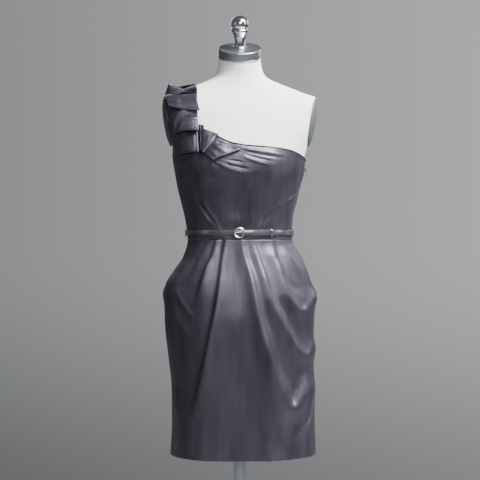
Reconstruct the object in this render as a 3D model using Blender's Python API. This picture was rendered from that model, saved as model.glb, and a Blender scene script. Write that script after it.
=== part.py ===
"""A satin one-shoulder dress, standing on a linen dress form with a round base.

The frame is +Z up, with the floor at zero and the pole's axis at X = Y = 0. The wearer faces -Y,
so the wearer's right, where the strap is, lies at -X. Sizes below are in millimetres, and every
mesh is made in metres.
"""

import math
from collections import namedtuple

import bmesh
import bpy
import numpy as np

MM = 0.001

# Cloth and clearances
CLOTH = 1.5
FLAP_CLOTH = 2.2
SEAM_GAP = 0.3
STRAP_EASE = 2.7
STRAP_RISE = 1.8
SEAM_TURN = math.radians(0.12)

# Levels of the garment
HEM = 501.5
WAIST = 1033.0
STRAP_SEAM = 1325.0

# Belt
BELT_LEVEL = 1050.0
BELT_WIDTH = 13.5
BELT_THICK = 1.6
BUCKLE_RING = 11.3
BUCKLE_WIRE = 1.2
BUCKLE_X = -1.5

BELT_OFF_CLOTH = 0.8
BELT_STEP_OUT = 2.6
BELT_TAIL_X = 78.0
KEEPER_X = 75.0
RING_OFF_WAIST = 7.0
BAR_OFF_WAIST = 2.1
BAR_RADIUS = 0.8
PRONG_OFF_WAIST = 6.7
PRONG_REACH = 9.4

# Concealed zip in the wearer's left side seam
ZIP_LEVEL = 1208.0

# Stand
POLE_RADIUS = 15.0
BASE_RADIUS = 190.0
TORSO_BOTTOM = 690.0

Section = namedtuple("Section", "height left right front back square lean")

# The linen torso, from its underside to the tilted top of its neck. Left is -X.
FORM_SECTIONS = [
    Section(690, 150, 150, 100, 104, 2.2, 0),
    Section(740, 160, 160, 108, 110, 2.2, 0),
    Section(820, 167, 167, 111, 113, 2.2, 0),
    Section(880, 165, 165, 109, 112, 2.2, 0),
    Section(930, 151, 151, 103, 104, 2.2, 0),
    Section(975, 134, 134, 95, 93, 2.2, 0),
    Section(1032, 125, 125, 89, 82, 2.2, 0),
    Section(1050, 125, 125, 89, 81, 2.2, 0),
    Section(1082, 127, 127, 92, 83, 2.2, 0),
    Section(1132, 138, 138, 100, 89, 2.2, 0),
    Section(1170, 147, 147, 108, 94, 2.2, 0),
    Section(1200, 154, 154, 114, 97, 2.2, 0),
    Section(1225, 158, 158, 117, 99, 2.2, 0),
    Section(1262, 167, 167, 112, 101, 2.3, 0),
    Section(1300, 181, 181, 101, 102, 2.4, 0),
    Section(1340, 196, 196, 88, 98, 2.3, 0),
    Section(1370, 204, 204, 75, 86, 2.1, 0),
    Section(1386, 195, 195, 67, 76, 1.9, 0),
    Section(1398, 162, 162, 62, 71, 1.8, 0),
    Section(1410, 131, 131, 57, 68, 1.85, 0),
    Section(1422, 101, 101, 54, 66, 1.9, 1),
    Section(1432, 78, 78, 53, 66, 1.95, 4),
    Section(1441, 65, 65, 52, 64, 2.0, 8),
    Section(1455, 57, 57, 52, 56, 2.0, 14),
    Section(1475, 53, 53, 54, 47, 2.0, 20),
    Section(1493, 52, 52, 56, 40, 2.0, 25),
]

# The dress's outer face from its hem to the bust. Above that it follows the torso.
DRESS_SECTIONS = [
    Section(501, 173, 190, 124, 112, 2.2, 0),
    Section(577, 169, 187, 126, 113, 2.2, 0),
    Section(665, 170, 185, 128, 115, 2.2, 0),
    Section(750, 179, 184, 130, 118, 2.2, 0),
    Section(832, 187, 186, 130, 120, 2.2, 0),
    Section(887, 188, 188, 126, 120, 2.2, 0),
    Section(925, 183, 179, 120, 116, 2.2, 0),
    Section(962, 161, 167, 111, 108, 2.2, 0),
    Section(992, 141, 154, 103, 99, 2.2, 0),
    Section(1033, 130, 131.5, 94.5, 88, 2.2, 0),
    Section(1050, 131, 131, 94.5, 87, 2.2, 0),
    Section(1082, 136, 132, 98, 89, 2.2, 0),
    Section(1132, 148, 144, 106, 95, 2.2, 0),
    Section(1170, 156, 152.5, 114, 99.5, 2.2, 0),
    Section(1200, 162, 160, 119.5, 102, 2.2, 0),
    Section(1225, 166.5, 163.5, 121, 103.5, 2.2, 0),
]

# Two soft swells of the bust, raised on torso and bodice alike.
BUST_X = 78.0
BUST_LEVEL = 1205.0
BUST_SPREAD = 46.0
BUST_RISE = 9.0

Fold = namedtuple("Fold", "name start upper lower end height edge spread seam_share")

# Pleats and cowls of the front skirt, as seen from the front: (X, Z) of a curve that leaves the
# waist seam. The steep face of each pleat looks to the side, and its soft face to the centre.
SKIRT_FOLDS = [
    Fold("left_outer", (-72, 1034), (-94, 990), (-114, 958), (-136, 925), 7, 5, 22, 0.4),
    Fold("left_middle", (-57, 1034), (-66, 985), (-92, 940), (-116, 850), 9, 5, 24, 0.4),
    Fold("left_long", (-36, 1034), (-52, 930), (-62, 790), (-132, 540), 11, 6, 34, 0.4),
    Fold("right_long", (10, 1034), (46, 930), (52, 770), (130, 625), 10, 6, 26, 0.4),
    Fold("right_cowl_low", (34, 1034), (72, 930), (112, 760), (182, 775), 10, 6, 26, 0.4),
    Fold("right_cowl_high", (80, 1034), (92, 950), (132, 850), (182, 895), 9, 6, 22, 0.35),
    Fold("right_side", (104, 1030), (126, 995), (148, 965), (170, 935), 5, 5, 18, 0.3),
]

# Gathers that run from the neckline flap, and the soft creases beside the darts.
BODICE_FOLDS = [
    Fold("gather_high", (-8, 1256), (25, 1249), (70, 1245), (112, 1239), 2.0, 3, 9, 1),
    Fold("gather_middle", (-50, 1224), (-20, 1219), (5, 1213), (30, 1211), 2.2, 3, 9, 1),
    Fold("gather_low", (-52, 1214), (-30, 1204), (0, 1194), (36, 1190), 2.0, 3, 9, 1),
    Fold("dart_left", (-50, 1066), (-62, 1090), (-78, 1112), (-92, 1136), 1.6, 4, 14, 1),
    Fold("dart_right", (46, 1066), (58, 1090), (74, 1112), (88, 1134), 1.6, 4, 14, 1),
]

EdgePoint = namedtuple("EdgePoint", "turn height")

# Top edge of the front bodice. Turn runs from the wearer's left side seam (0) over the front to
# the right one (180): the neckline first, then the strap's seam, then the armhole.
FRONT_TOP = [
    EdgePoint(0, 1229),
    EdgePoint(12, 1233),
    EdgePoint(34, 1244),
    EdgePoint(46, 1250),
    EdgePoint(67, 1256),
    EdgePoint(84, 1259.5),
    EdgePoint(93, 1265),
    EdgePoint(100, 1275),
    EdgePoint(107, 1289),
    EdgePoint(115, 1302),
    EdgePoint(121.5, 1325),
    EdgePoint(155, 1325),
    EdgePoint(159, 1300),
    EdgePoint(165, 1262),
    EdgePoint(172, 1245),
    EdgePoint(180, 1240),
]

# Top edge of the back bodice, on round the back from 180 to 360.
BACK_TOP = [
    EdgePoint(180, 1240),
    EdgePoint(188, 1245),
    EdgePoint(195, 1262),
    EdgePoint(201, 1300),
    EdgePoint(205, 1325),
    EdgePoint(237, 1325),
    EdgePoint(245, 1306),
    EdgePoint(258, 1288),
    EdgePoint(275, 1272),
    EdgePoint(300, 1256),
    EdgePoint(330, 1240),
    EdgePoint(360, 1229),
]

StrapEdge = namedtuple("StrapEdge", "share outer inner")

# How far from the centre the strap's two edges lie, from its front seam (0) to its back seam (1).
STRAP_EDGES = [
    StrapEdge(0.0, 163, 103),
    StrapEdge(0.25, 170, 104),
    StrapEdge(0.5, 181, 111),
    StrapEdge(0.75, 170, 104),
    StrapEdge(1.0, 163, 103),
]

Flap = namedtuple("Flap", "name root_outer root_inner edge_outer edge_inner billow")

# Folded flaps, each corner as (X, Z, height of the flap's outer face over the cloth below it).
# A flap is sewn down along its root and stands off at its free edge.
FLAPS = [
    Flap("ruffle_flap_1", (-187, 1394, 8), (-107, 1396, 4.5), (-177, 1420, 18), (-104, 1403, 16), 2),
    Flap("ruffle_flap_2", (-184, 1386, 4), (-109, 1391, 4), (-175, 1362, 13), (-97, 1349, 15), 3),
    Flap("ruffle_flap_3", (-172, 1362, 3.3), (-104, 1360, 3.3), (-166, 1292, 15), (-98, 1298, 14), 6),
    Flap("ruffle_flap_4", (-163, 1304, 6), (-103, 1308, 4), (-165, 1239, 14), (-99, 1246, 12), 3),
    Flap("ruffle_flap_5", (-86, 1309, 3.4), (-86, 1250, 3.4), (-95, 1317, 8), (-95, 1243, 8), 0),
    Flap("ruffle_flap_6", (-84, 1300, 5), (-50, 1287, 6), (-92, 1247, 11.2), (-86, 1242, 14), 2),
    Flap("ruffle_flap_7", (-88, 1243, 4), (-51, 1279, 3.6), (-65, 1224, 10), (1, 1250, 5), 3),
]
REAR_FLAP = Flap(
    "ruffle_flap_0", (-182, 1393, 6), (-109, 1416, 6), (-172, 1414, 13), (-113, 1426, 16), 2
)


# Reading the tables

def read_smoothly(places, values, at):
    """A monotone cubic through the table's points, so a curve never swings past them."""
    places = np.asarray(places, float)
    values = np.asarray(values, float)
    at = np.clip(at, places[0], places[-1])
    width = np.diff(places)
    slope = np.diff(values) / width
    tangent = np.zeros(len(places))
    tangent[0] = slope[0]
    tangent[-1] = slope[-1]
    same_way = slope[:-1] * slope[1:] > 0
    inner = np.zeros(len(slope) - 1)
    product = 2 * slope[:-1] * slope[1:]
    total = slope[:-1] + slope[1:]
    inner[same_way] = product[same_way] / total[same_way]
    tangent[1:-1] = inner
    cell = np.clip(np.searchsorted(places, at, side="right") - 1, 0, len(width) - 1)
    part = (at - places[cell]) / width[cell]
    rest = 1 - part
    start = values[cell] * (1 + 2 * part) * rest**2
    start += tangent[cell] * width[cell] * part * rest**2
    finish = values[cell + 1] * part**2 * (3 - 2 * part)
    finish -= tangent[cell + 1] * width[cell] * part**2 * rest
    return start + finish


def smooth_step(value):
    value = np.clip(value, 0, 1)
    return value * value * (3 - 2 * value)


def eased(section, ease):
    """The torso's section, let out all round, and raised where the shoulders slope."""
    slope = smooth_step((section.height - 1340) / 50)
    return section._replace(
        height=section.height + STRAP_RISE * slope,
        left=section.left + ease,
        right=section.right + ease,
        front=section.front + ease,
        back=section.back + ease,
    )


class Body:
    """A closed form of rounded sections. Turn 0 is +X, 90 degrees the front, 180 degrees -X."""

    def __init__(self, sections):
        self.table = np.array(sections, float)

    def column(self, index, height):
        return read_smoothly(self.table[:, 0], self.table[:, index], height)

    def points(self, turn, height):
        turn, height = np.broadcast_arrays(turn, height)
        across = np.cos(turn)
        along = np.sin(turn)
        power = 2 / self.column(5, height)
        half = np.where(across < 0, self.column(1, height), self.column(2, height))
        deep = np.where(along > 0, self.column(3, height), self.column(4, height))
        x = half * np.sign(across) * np.abs(across) ** power
        y = -deep * np.sign(along) * np.abs(along) ** power
        y = y - bust_swell(x, height) * np.clip(along, 0, 1)
        z = height + y * np.tan(np.radians(self.column(6, height)))
        return np.stack([x, y, z], axis=-1)

    def outward(self, turn, height):
        """Unit normals, from the surface a little to each side."""
        nudge = math.radians(0.5)
        around = self.points(turn + nudge, height) - self.points(turn - nudge, height)
        upward = self.points(turn, height + 1.0) - self.points(turn, height - 1.0)
        normal = np.cross(upward, around)
        return normal / np.linalg.norm(normal, axis=-1, keepdims=True)

    def face_y(self, x, height, way):
        """Y of the front (-1) or back (1) face at X, or of the crest where there is none."""
        half = np.where(x < 0, self.column(1, height), self.column(2, height))
        square = self.column(5, height)
        room = np.clip(1 - np.abs(x / half) ** square, 0, 1)
        depth = self.column(3 if way < 0 else 4, height) * room ** (1 / square)
        swell = bust_swell(x, height) * room if way < 0 else 0
        return way * (depth + swell)

    def crest(self, distance):
        """Height of the shoulder's crest at that distance from the centre."""
        levels = np.linspace(1390, 1440, 120)
        return np.interp(-distance, -self.column(1, levels), levels)


def bust_swell(x, height):
    near = ((np.abs(x) - BUST_X) / BUST_SPREAD) ** 2
    level = ((height - BUST_LEVEL) / BUST_SPREAD) ** 2
    return BUST_RISE * np.exp(-near - level)


def fold_height(fold, x, z):
    """How far a fold raises the cloth: a steep rise at its curve, then a soft fall beside it."""
    share = np.linspace(0, 1, 50)[:, None]
    rest = 1 - share
    start, upper, lower, end = (np.array(point, float) for point in fold[1:5])
    curve = start * rest**3 + 3 * upper * rest**2 * share
    curve = curve + 3 * lower * rest * share**2 + end * share**3
    heading = np.gradient(curve, axis=0)
    away = np.stack([x, z], axis=-1)[..., None, :] - curve
    nearest = np.argmin((away**2).sum(-1), axis=-1)
    gap = np.take_along_axis(away, nearest[..., None, None], axis=-2)[..., 0, :]
    heading = heading[nearest]
    turn_side = np.sign(heading[..., 0] * gap[..., 1] - heading[..., 1] * gap[..., 0])
    to_centre = 1 if start[0] < 0 else -1
    distance = np.linalg.norm(gap, axis=-1) * turn_side * to_centre
    along = share[nearest][..., 0]
    grown = fold.seam_share + (1 - fold.seam_share) * smooth_step(along / 0.3)
    strength = grown * (1 - smooth_step((along - 0.5) / 0.5))
    rise = 1 / (1 + np.exp(np.clip(-distance / fold.edge, -30, 30)))
    fall = np.exp(-np.clip(distance, 0, None) / fold.spread)
    return fold.height * strength * rise * fall


def raised(folds, points):
    return sum(fold_height(fold, points[..., 0], points[..., 2]) for fold in folds)


FORM = Body(FORM_SECTIONS)
HIGH_SECTIONS = [eased(row, STRAP_EASE) for row in FORM_SECTIONS if row.height > 1250]
DRESS = Body(DRESS_SECTIONS + HIGH_SECTIONS)


# Making meshes

def material(name, color, roughness, metallic=0.0):
    made = bpy.data.materials.new(name)
    made.use_nodes = True
    shader = made.node_tree.nodes["Principled BSDF"]
    shader.inputs["Base Color"].default_value = (*color, 1)
    shader.inputs["Roughness"].default_value = roughness
    shader.inputs["Metallic"].default_value = metallic
    return made


def object_of(name, points, faces, finish, smooth=True):
    """An object from points in millimetres and faces by index, facing outwards once closed."""
    mesh = bpy.data.meshes.new(name)
    mesh.from_pydata([tuple(point * MM) for point in points], [], faces)
    mesh.materials.append(finish)
    made = bpy.data.objects.new(name, mesh)
    bpy.context.scene.collection.objects.link(made)
    if smooth:
        mesh.shade_smooth()
        mesh.set_sharp_from_angle(angle=math.radians(40))
    return made


def face_outwards(made):
    form = bmesh.new()
    form.from_mesh(made.data)
    bmesh.ops.recalc_face_normals(form, faces=form.faces)
    form.to_mesh(made.data)
    form.free()
    return made


def grid_faces(rows, columns, wrap=False):
    """Quads over a grid of points, row by row, joined round where it wraps."""
    faces = []
    for row in range(rows - 1):
        for column in range(columns if wrap else columns - 1):
            beside = (column + 1) % columns
            here = row * columns
            above = here + columns
            faces.append((here + column, above + column, above + beside, here + beside))
    return faces


def cloth_wall(name, grid, thickness, finish):
    """A sheet whose outer face is the grid, thickened inwards."""
    rows, columns = grid.shape[:2]
    made = object_of(name, grid.reshape(-1, 3), grid_faces(rows, columns), finish)
    wall = made.modifiers.new("wall", "SOLIDIFY")
    wall.thickness = thickness * MM
    wall.offset = -1
    return made


def lofted(name, rings, finish, ends=True):
    """A solid through rings of equal length, with flat ends, or closed on itself without them."""
    rings = np.asarray(rings, float)
    rows, columns = rings.shape[:2]
    faces = grid_faces(rows, columns, wrap=True)
    if ends:
        faces.append(tuple(range(columns)))
        faces.append(tuple((rows - 1) * columns + column for column in range(columns)))
    else:
        last = (rows - 1) * columns
        for column in range(columns):
            beside = (column + 1) % columns
            faces.append((last + column, column, beside, last + beside))
    return face_outwards(object_of(name, rings.reshape(-1, 3), faces, finish))


def turned(name, profile, sides, finish, place=(0, 0, 0), lean=0.0, ends=True):
    """A solid of revolution from (radius, height) points, leaned forward about its foot."""
    angle = np.linspace(0, 2 * math.pi, sides, endpoint=False)
    tilt = math.radians(lean)
    rings = []
    for radius, height in profile:
        x = radius * np.cos(angle)
        y = radius * np.sin(angle)
        ring = [
            x + place[0],
            y * math.cos(tilt) - height * math.sin(tilt) + place[1],
            y * math.sin(tilt) + height * math.cos(tilt) + place[2],
        ]
        rings.append(np.stack(ring, axis=-1))
    return lofted(name, rings, finish, ends)


def tube_rings(route, radius, sides):
    """Rings of a round bar along a route of points."""
    route = np.asarray(route, float)
    heading = np.gradient(route, axis=0)
    heading /= np.linalg.norm(heading, axis=1, keepdims=True)
    angle = np.linspace(0, 2 * math.pi, sides, endpoint=False)
    rings = []
    for place, forward in zip(route, heading):
        side = np.cross(forward, (1, 0.02, 0.03))
        side /= np.linalg.norm(side)
        over = np.cross(forward, side)
        rings.append(place + radius * (np.cos(angle)[:, None] * side + np.sin(angle)[:, None] * over))
    return rings


def joined(made, others):
    """Fuses helper solids into one piece, and hides the helpers."""
    for other in others:
        other.hide_render = True
        other.hide_viewport = True
        other.display_type = "WIRE"
        fuse = made.modifiers.new("fuse_" + other.name, "BOOLEAN")
        fuse.operation = "UNION"
        fuse.object = other
    return made


# The dress form

def armhole_plane(side):
    """A point and the outward direction of the flat that closes an armhole."""
    point = np.array([side * 178.0, 0.0, 1320.0])
    outward = np.array([side * 1.0, -0.14, -0.16])
    return point, outward / np.linalg.norm(outward)


def make_torso(finish):
    hidden = [690, 740, 820, 880, 930, 975, 1032, 1060, 1100, 1145, 1180, 1205, 1230]
    chest = [1255, 1280, 1305, 1330, 1352, 1370]
    shoulder = [1380, 1387, 1394, 1401, 1408, 1415, 1422, 1429, 1436]
    neck = [1443, 1452, 1464, 1478, 1493]
    heights = np.array(hidden + chest + shoulder + neck, float)
    turns = np.linspace(0, 2 * math.pi, 36, endpoint=False)
    rings = FORM.points(turns[None, :], heights[:, None])
    torso = lofted("form_torso", rings, finish)
    form = bmesh.new()
    form.from_mesh(torso.data)
    plates = []
    for side in (-1, 1):
        point, outward = armhole_plane(side)
        faces = [face for face in form.faces if face.calc_center_median().z > 1200 * MM]
        edges = {edge for face in faces for edge in face.edges}
        corners = {corner for face in faces for corner in face.verts}
        shoulder_side = [*corners, *edges, *faces]
        cut = bmesh.ops.bisect_plane(
            form, geom=shoulder_side, plane_co=point * MM, plane_no=outward, clear_outer=True
        )
        rim = [item for item in cut["geom_cut"] if isinstance(item, bmesh.types.BMEdge)]
        filled = bmesh.ops.holes_fill(form, edges=rim)["faces"]
        plates.append([np.array(corner.co) / MM for corner in filled[0].verts])
    bmesh.ops.recalc_face_normals(form, faces=form.faces)
    form.to_mesh(torso.data)
    form.free()
    torso.data.shade_smooth()
    torso.data.set_sharp_from_angle(angle=math.radians(40))
    return plates


def make_arm_plate(name, side, rim, finish):
    """A domed oval plate 0.3 mm off the armhole's flat, a little inside its rim."""
    point, outward = armhole_plane(side)
    middle = np.mean(rim, axis=0)
    upward = np.array([0, 0, 1.0])
    upward -= outward * upward.dot(outward)
    upward /= np.linalg.norm(upward)
    forward = np.cross(upward, outward)
    reach = np.array([[(corner - middle).dot(forward), (corner - middle).dot(upward)] for corner in rim])
    low = reach.min(0) + 3
    high = reach.max(0) - 3
    centre = middle + forward * (low[0] + high[0]) / 2 + upward * (low[1] + high[1]) / 2
    half = (high - low) / 2
    angle = np.linspace(0, 2 * math.pi, 28, endpoint=False)
    rings = []
    for share, rise in ((0.96, SEAM_GAP), (1.0, 2.0), (0.97, 4.5), (0.8, 7.5), (0.5, 9.5), (0.15, 10.2)):
        ring = centre + outward * rise
        ring = ring + share * half[0] * np.cos(angle)[:, None] * forward
        ring = ring + share * half[1] * np.sin(angle)[:, None] * upward
        rings.append(ring)
    return lofted(name, rings, finish)


def make_neck_top(metal, silver):
    """The metal cap and its turned finial, both leaned forward with the neck."""
    lean = 25.0
    top = FORM_SECTIONS[-1]
    middle = (top.back - top.front) / 2
    foot = np.array([0.0, middle, top.height + middle * math.tan(math.radians(lean))])
    axis = np.array([0, -math.sin(math.radians(lean)), math.cos(math.radians(lean))])
    cap = [(53, SEAM_GAP), (54, 1.5), (54, 21), (52.5, 23), (14, 23.6)]
    turned("form_neck_cap", cap, 36, metal, foot, lean)
    finial_foot = foot + axis * (23.6 + SEAM_GAP)
    finial = [
        (17, 0), (17, 2.5), (14, 5), (14, 21), (15.5, 31), (21, 42), (21.5, 46), (18.5, 50),
        (22.5, 58), (21.5, 66), (17.5, 72), (11, 77), (4, 79.5),
    ]
    turned("form_finial", finial, 20, silver, finial_foot, lean)


def make_stand(metal, iron):
    pole = [(POLE_RADIUS, 12 + SEAM_GAP), (POLE_RADIUS, TORSO_BOTTOM - SEAM_GAP)]
    turned("form_pole", pole, 24, metal)
    hole = POLE_RADIUS + SEAM_GAP
    base = [
        (hole, 12), (hole, 80), (22, 80), (24, 78), (24, 36), (30, 28), (60, 24), (120, 19),
        (170, 13), (BASE_RADIUS - 3, 9), (BASE_RADIUS, 5), (BASE_RADIUS - 2, 0),
    ]
    turned("form_base", base, 36, iron)


# The garment

def front_top(turn):
    rows = np.array(FRONT_TOP)
    return read_smoothly(rows[:, 0], rows[:, 1], np.degrees(turn))


def back_top(turn):
    rows = np.array(BACK_TOP)
    return read_smoothly(rows[:, 0], rows[:, 1], np.degrees(turn))


def panel(turns, low, high, rows, folds, lift=None):
    """Points of a panel between two edges, raised by its folds and by an extra lift."""
    share = np.linspace(0, 1, rows)[:, None]
    turns, heights = np.broadcast_arrays(turns, low + (high - low) * share)
    base = DRESS.points(turns, heights)
    rise = raised(folds, base) if folds else 0
    if lift is not None:
        rise = rise + lift(turns, heights)
    outward = DRESS.outward(turns, heights)
    return base + outward * np.asarray(rise)[..., None]


def front_turns(count):
    return np.linspace(SEAM_TURN, math.pi - SEAM_TURN, count)


def back_turns(count):
    return np.linspace(math.pi + SEAM_TURN, 2 * math.pi - SEAM_TURN, count)


def make_bodice(satin):
    turns = front_turns(29)
    low = WAIST + SEAM_GAP / 2
    grid = panel(turns[None, :], low, front_top(turns)[None, :] - SEAM_GAP / 2, 13, BODICE_FOLDS)
    cloth_wall("bodice_front", grid, CLOTH, satin)
    turns = back_turns(24)
    grid = panel(turns[None, :], low, back_top(turns)[None, :] - SEAM_GAP / 2, 12, [])
    cloth_wall("bodice_back", grid, CLOTH, satin)


def make_strap(satin):
    """From the front seam up over the shoulder's crest and down to the back seam."""
    edges = np.array(STRAP_EDGES)
    share = np.linspace(0, 1, 19)
    outer = read_smoothly(edges[:, 0], edges[:, 1], share)
    inner = read_smoothly(edges[:, 0], edges[:, 2], share)
    blend = np.linspace(0, 1, 5)
    distance = inner[:, None] + (outer - inner)[:, None] * blend
    top = DRESS.crest(distance)
    low = STRAP_SEAM + SEAM_GAP / 2
    height = low + (top - low) * np.sin(share * math.pi)[:, None]
    square = DRESS.column(5, height)
    room = np.clip(1 - (distance / DRESS.column(1, height)) ** square, 0, 1) ** (1 / square)
    behind = share[:, None] > 0.5
    y = np.where(behind, DRESS.column(4, height), -DRESS.column(3, height)) * room
    cloth_wall("shoulder_strap", np.stack([-distance, y, height], axis=-1), CLOTH, satin)


def flap_grid(flap, way=-1, across=7, down=5):
    """A flap's outer face between its root and its free edge, billowed between them."""
    u = np.linspace(0, 1, across)[None, :, None]
    v = np.linspace(0, 1, down)[:, None, None]
    corners = [np.array(corner, float) for corner in flap[1:5]]
    root = corners[0] * (1 - u) + corners[1] * u
    edge = corners[2] * (1 - u) + corners[3] * u
    billow = flap.billow * np.sin(math.pi * u) * np.sin(math.pi * v * 0.85)
    lines = []
    for line in (root, edge):
        x, z, lift = np.moveaxis(line, -1, 0)
        lines.append(np.stack([x, DRESS.face_y(x, z, way) + way * lift, z], axis=-1))
    grid = lines[0] * (1 - v) + lines[1] * v
    grid[..., 1] += way * billow[..., 0]
    return grid


def make_flaps(satin):
    for flap in FLAPS:
        grid = flap_grid(flap)
        if flap.edge_outer[1] > flap.root_outer[1] + 20:
            grid = grid[::-1]
        cloth_wall(flap.name, grid, FLAP_CLOTH, satin)
    cloth_wall(REAR_FLAP.name, flap_grid(REAR_FLAP, way=1), FLAP_CLOTH, satin)


def pocket_gape(turns, heights):
    """The pocket mouths: the front skirt's side edges stand off the hips."""
    level = np.exp(-(((heights - 900) / 20) ** 2))
    from_seam = np.minimum(turns, math.pi - turns)
    return 5.0 * level * np.exp(-from_seam / math.radians(14))


def back_ripple(turns, heights):
    """Soft upright waves of the hanging back skirt."""
    down = smooth_step((WAIST - heights) / 260)
    return 2.5 * down * np.cos(7 * turns) * np.sin(turns) ** 2


def make_skirt(satin):
    top = WAIST - SEAM_GAP / 2
    grid = panel(front_turns(42)[None, :], HEM, top, 23, SKIRT_FOLDS, pocket_gape)
    cloth_wall("skirt_front", grid, CLOTH, satin)
    grid = panel(back_turns(22)[None, :], HEM, top, 12, [], back_ripple)
    cloth_wall("skirt_back", grid, CLOTH, satin)


def make_pockets(satin):
    """Facings that reach from under the back skirt's edge forward behind the mouths."""
    for name, seam, way in (("pocket_right", math.pi, -1), ("pocket_left", 0.0, 1)):
        turns = seam + way * np.radians(np.linspace(0.15, 14.0, 7))
        heights = np.linspace(866, 934, 6)
        turns, heights = np.meshgrid(turns, heights)
        share = np.linspace(0, 1, 7)[None, :]
        sink = 2.3 + 6 * share
        grid = DRESS.points(turns, heights) - DRESS.outward(turns, heights) * sink[..., None]
        if way < 0:
            grid = grid[:, ::-1]
        cloth_wall(name, grid, 1.2, satin)


# Belt and zip

def belt_outside(turns, height, offset):
    """Points off the waist's surface, level with the belt."""
    flat = DRESS.points(turns, BELT_LEVEL)
    outward = DRESS.outward(turns, BELT_LEVEL)
    outward[..., 2] = 0
    outward /= np.linalg.norm(outward, axis=-1, keepdims=True)
    made = flat + outward * np.asarray(offset)[..., None]
    made[..., 2] = height
    return made


def turn_at(x):
    """The turn on the front of the waist that has this X."""
    turns = np.linspace(0, math.pi, 721)
    return float(np.interp(-x, -DRESS.points(turns, BELT_LEVEL)[:, 0], turns))


def make_belt(patent, silver):
    """One strip: from the buckle's bar round the back, then out over its own start."""
    first = turn_at(BUCKLE_X + 4)
    last = turn_at(BELT_TAIL_X) - 2 * math.pi
    turns = np.linspace(first, last, 78)
    gone = first - turns
    step_out = smooth_step((gone - (2 * math.pi - math.radians(14))) / math.radians(10))
    settle = smooth_step((gone - 2 * math.pi) / math.radians(16))
    lower_layer = 1.0 + BELT_THICK
    offset = BELT_OFF_CLOTH + lower_layer + BELT_STEP_OUT * step_out - 0.5 * settle
    levels = BELT_LEVEL + np.array([-BELT_WIDTH, BELT_WIDTH]) / 2
    grid = np.stack([belt_outside(turns, level, offset) for level in levels[::-1]])
    cloth_wall("belt_strap", grid, BELT_THICK, patent)

    front = DRESS.points(turn_at(BUCKLE_X), BELT_LEVEL)[1]
    ring_y = front - RING_OFF_WAIST
    angle = np.linspace(0, 2 * math.pi, 22, endpoint=False)
    circle = [
        (BUCKLE_X + BUCKLE_RING * math.cos(a), ring_y, BELT_LEVEL + BUCKLE_RING * math.sin(a)) for a in angle
    ]
    section = np.linspace(0, 2 * math.pi, 6, endpoint=False)
    rings = []
    for a, centre in zip(angle, circle):
        outward = np.array([math.cos(a), 0, math.sin(a)])
        ring = np.array(centre) + BUCKLE_WIRE * np.cos(section)[:, None] * outward
        ring = ring + BUCKLE_WIRE * np.sin(section)[:, None] * np.array([0, -1.0, 0])
        rings.append(ring)
    buckle = lofted("belt_buckle", rings, silver, ends=False)
    bar_y = front - BAR_OFF_WAIST
    route = [
        (BUCKLE_X, ring_y, BELT_LEVEL + BUCKLE_RING),
        (BUCKLE_X, ring_y + 2.2, BELT_LEVEL + 10.2),
        (BUCKLE_X, bar_y, BELT_LEVEL + 8.6),
        (BUCKLE_X, bar_y, BELT_LEVEL + 6.0),
        (BUCKLE_X, bar_y, BELT_LEVEL - 6.0),
        (BUCKLE_X, bar_y, BELT_LEVEL - 8.6),
        (BUCKLE_X, ring_y + 2.2, BELT_LEVEL - 10.2),
        (BUCKLE_X, ring_y, BELT_LEVEL - BUCKLE_RING),
    ]
    bar = lofted("buckle_bar", tube_rings(route, BAR_RADIUS, 6), silver)
    joined(buckle, [bar])

    prong_y = front - PRONG_OFF_WAIST
    prong_root = (BUCKLE_X + 1.5, prong_y, BELT_LEVEL)
    prong_tip = (BUCKLE_X - PRONG_REACH, prong_y - 0.3, BELT_LEVEL)
    rings = []
    for place in np.linspace(prong_root, prong_tip, 5):
        ring = place + 0.8 * np.stack(
            [np.zeros(6), np.cos(section) * 0.9, np.sin(section) * 1.1], axis=-1
        )
        rings.append(ring)
    lofted("belt_prong", rings, silver)


def over_belt(name, turn, width, thickness, reach, rise, finish):
    """A strip laid over the belt, its two ends turned in to the bodice."""
    half = np.array([-0.5, 0.5]) * width
    step = half / np.linalg.norm(
        DRESS.points(turn + 0.01, BELT_LEVEL) - DRESS.points(turn, BELT_LEVEL)
    ) * 0.01
    path = [
        (thickness + 1.5, rise),
        (reach - 1.0, rise - 0.4),
        (reach, rise - 1.6),
        (reach, 0.0),
        (reach, 1.6 - rise),
        (reach - 1.0, 0.4 - rise),
        (thickness + 1.5, -rise),
    ]
    rows = [belt_outside(turn + step, BELT_LEVEL + level, np.full(2, out)) for out, level in path]
    return cloth_wall(name, np.stack(rows)[::-1], thickness, finish)


def make_zip(metal):
    """The slider near the top of the side zip, and its pull tab hanging on a cross bar."""
    surface = DRESS.points(0.0, ZIP_LEVEL)[0]
    body = box("zip_slider", (surface + 2.9, 0, ZIP_LEVEL), (3.4, 6.0, 9.0), 0.8, metal)
    ears = []
    for side in (-1, 1):
        place = (surface + 5.6, side * 2.45, ZIP_LEVEL + 1.5)
        ears.append(box(f"zip_ear_{side + 1}", place, (3.8, 0.9, 3.6), 0.0, metal))
    joined(body, ears)
    angle = np.linspace(0, 2 * math.pi, 12, endpoint=False)
    axis_x = surface + 6.2
    rings = []
    for y in (-1.65, 1.65):
        ring = [axis_x + 0.9 * np.cos(angle), np.full(12, y), ZIP_LEVEL + 1.5 + 0.9 * np.sin(angle)]
        rings.append(np.stack(ring, axis=-1))
    pull = lofted("zip_pull", rings, metal)
    tab = box("zip_tab", (axis_x, 0, ZIP_LEVEL - 6.3), (1.0, 3.2, 15.2), 0.3, metal)
    joined(pull, [tab])


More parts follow.
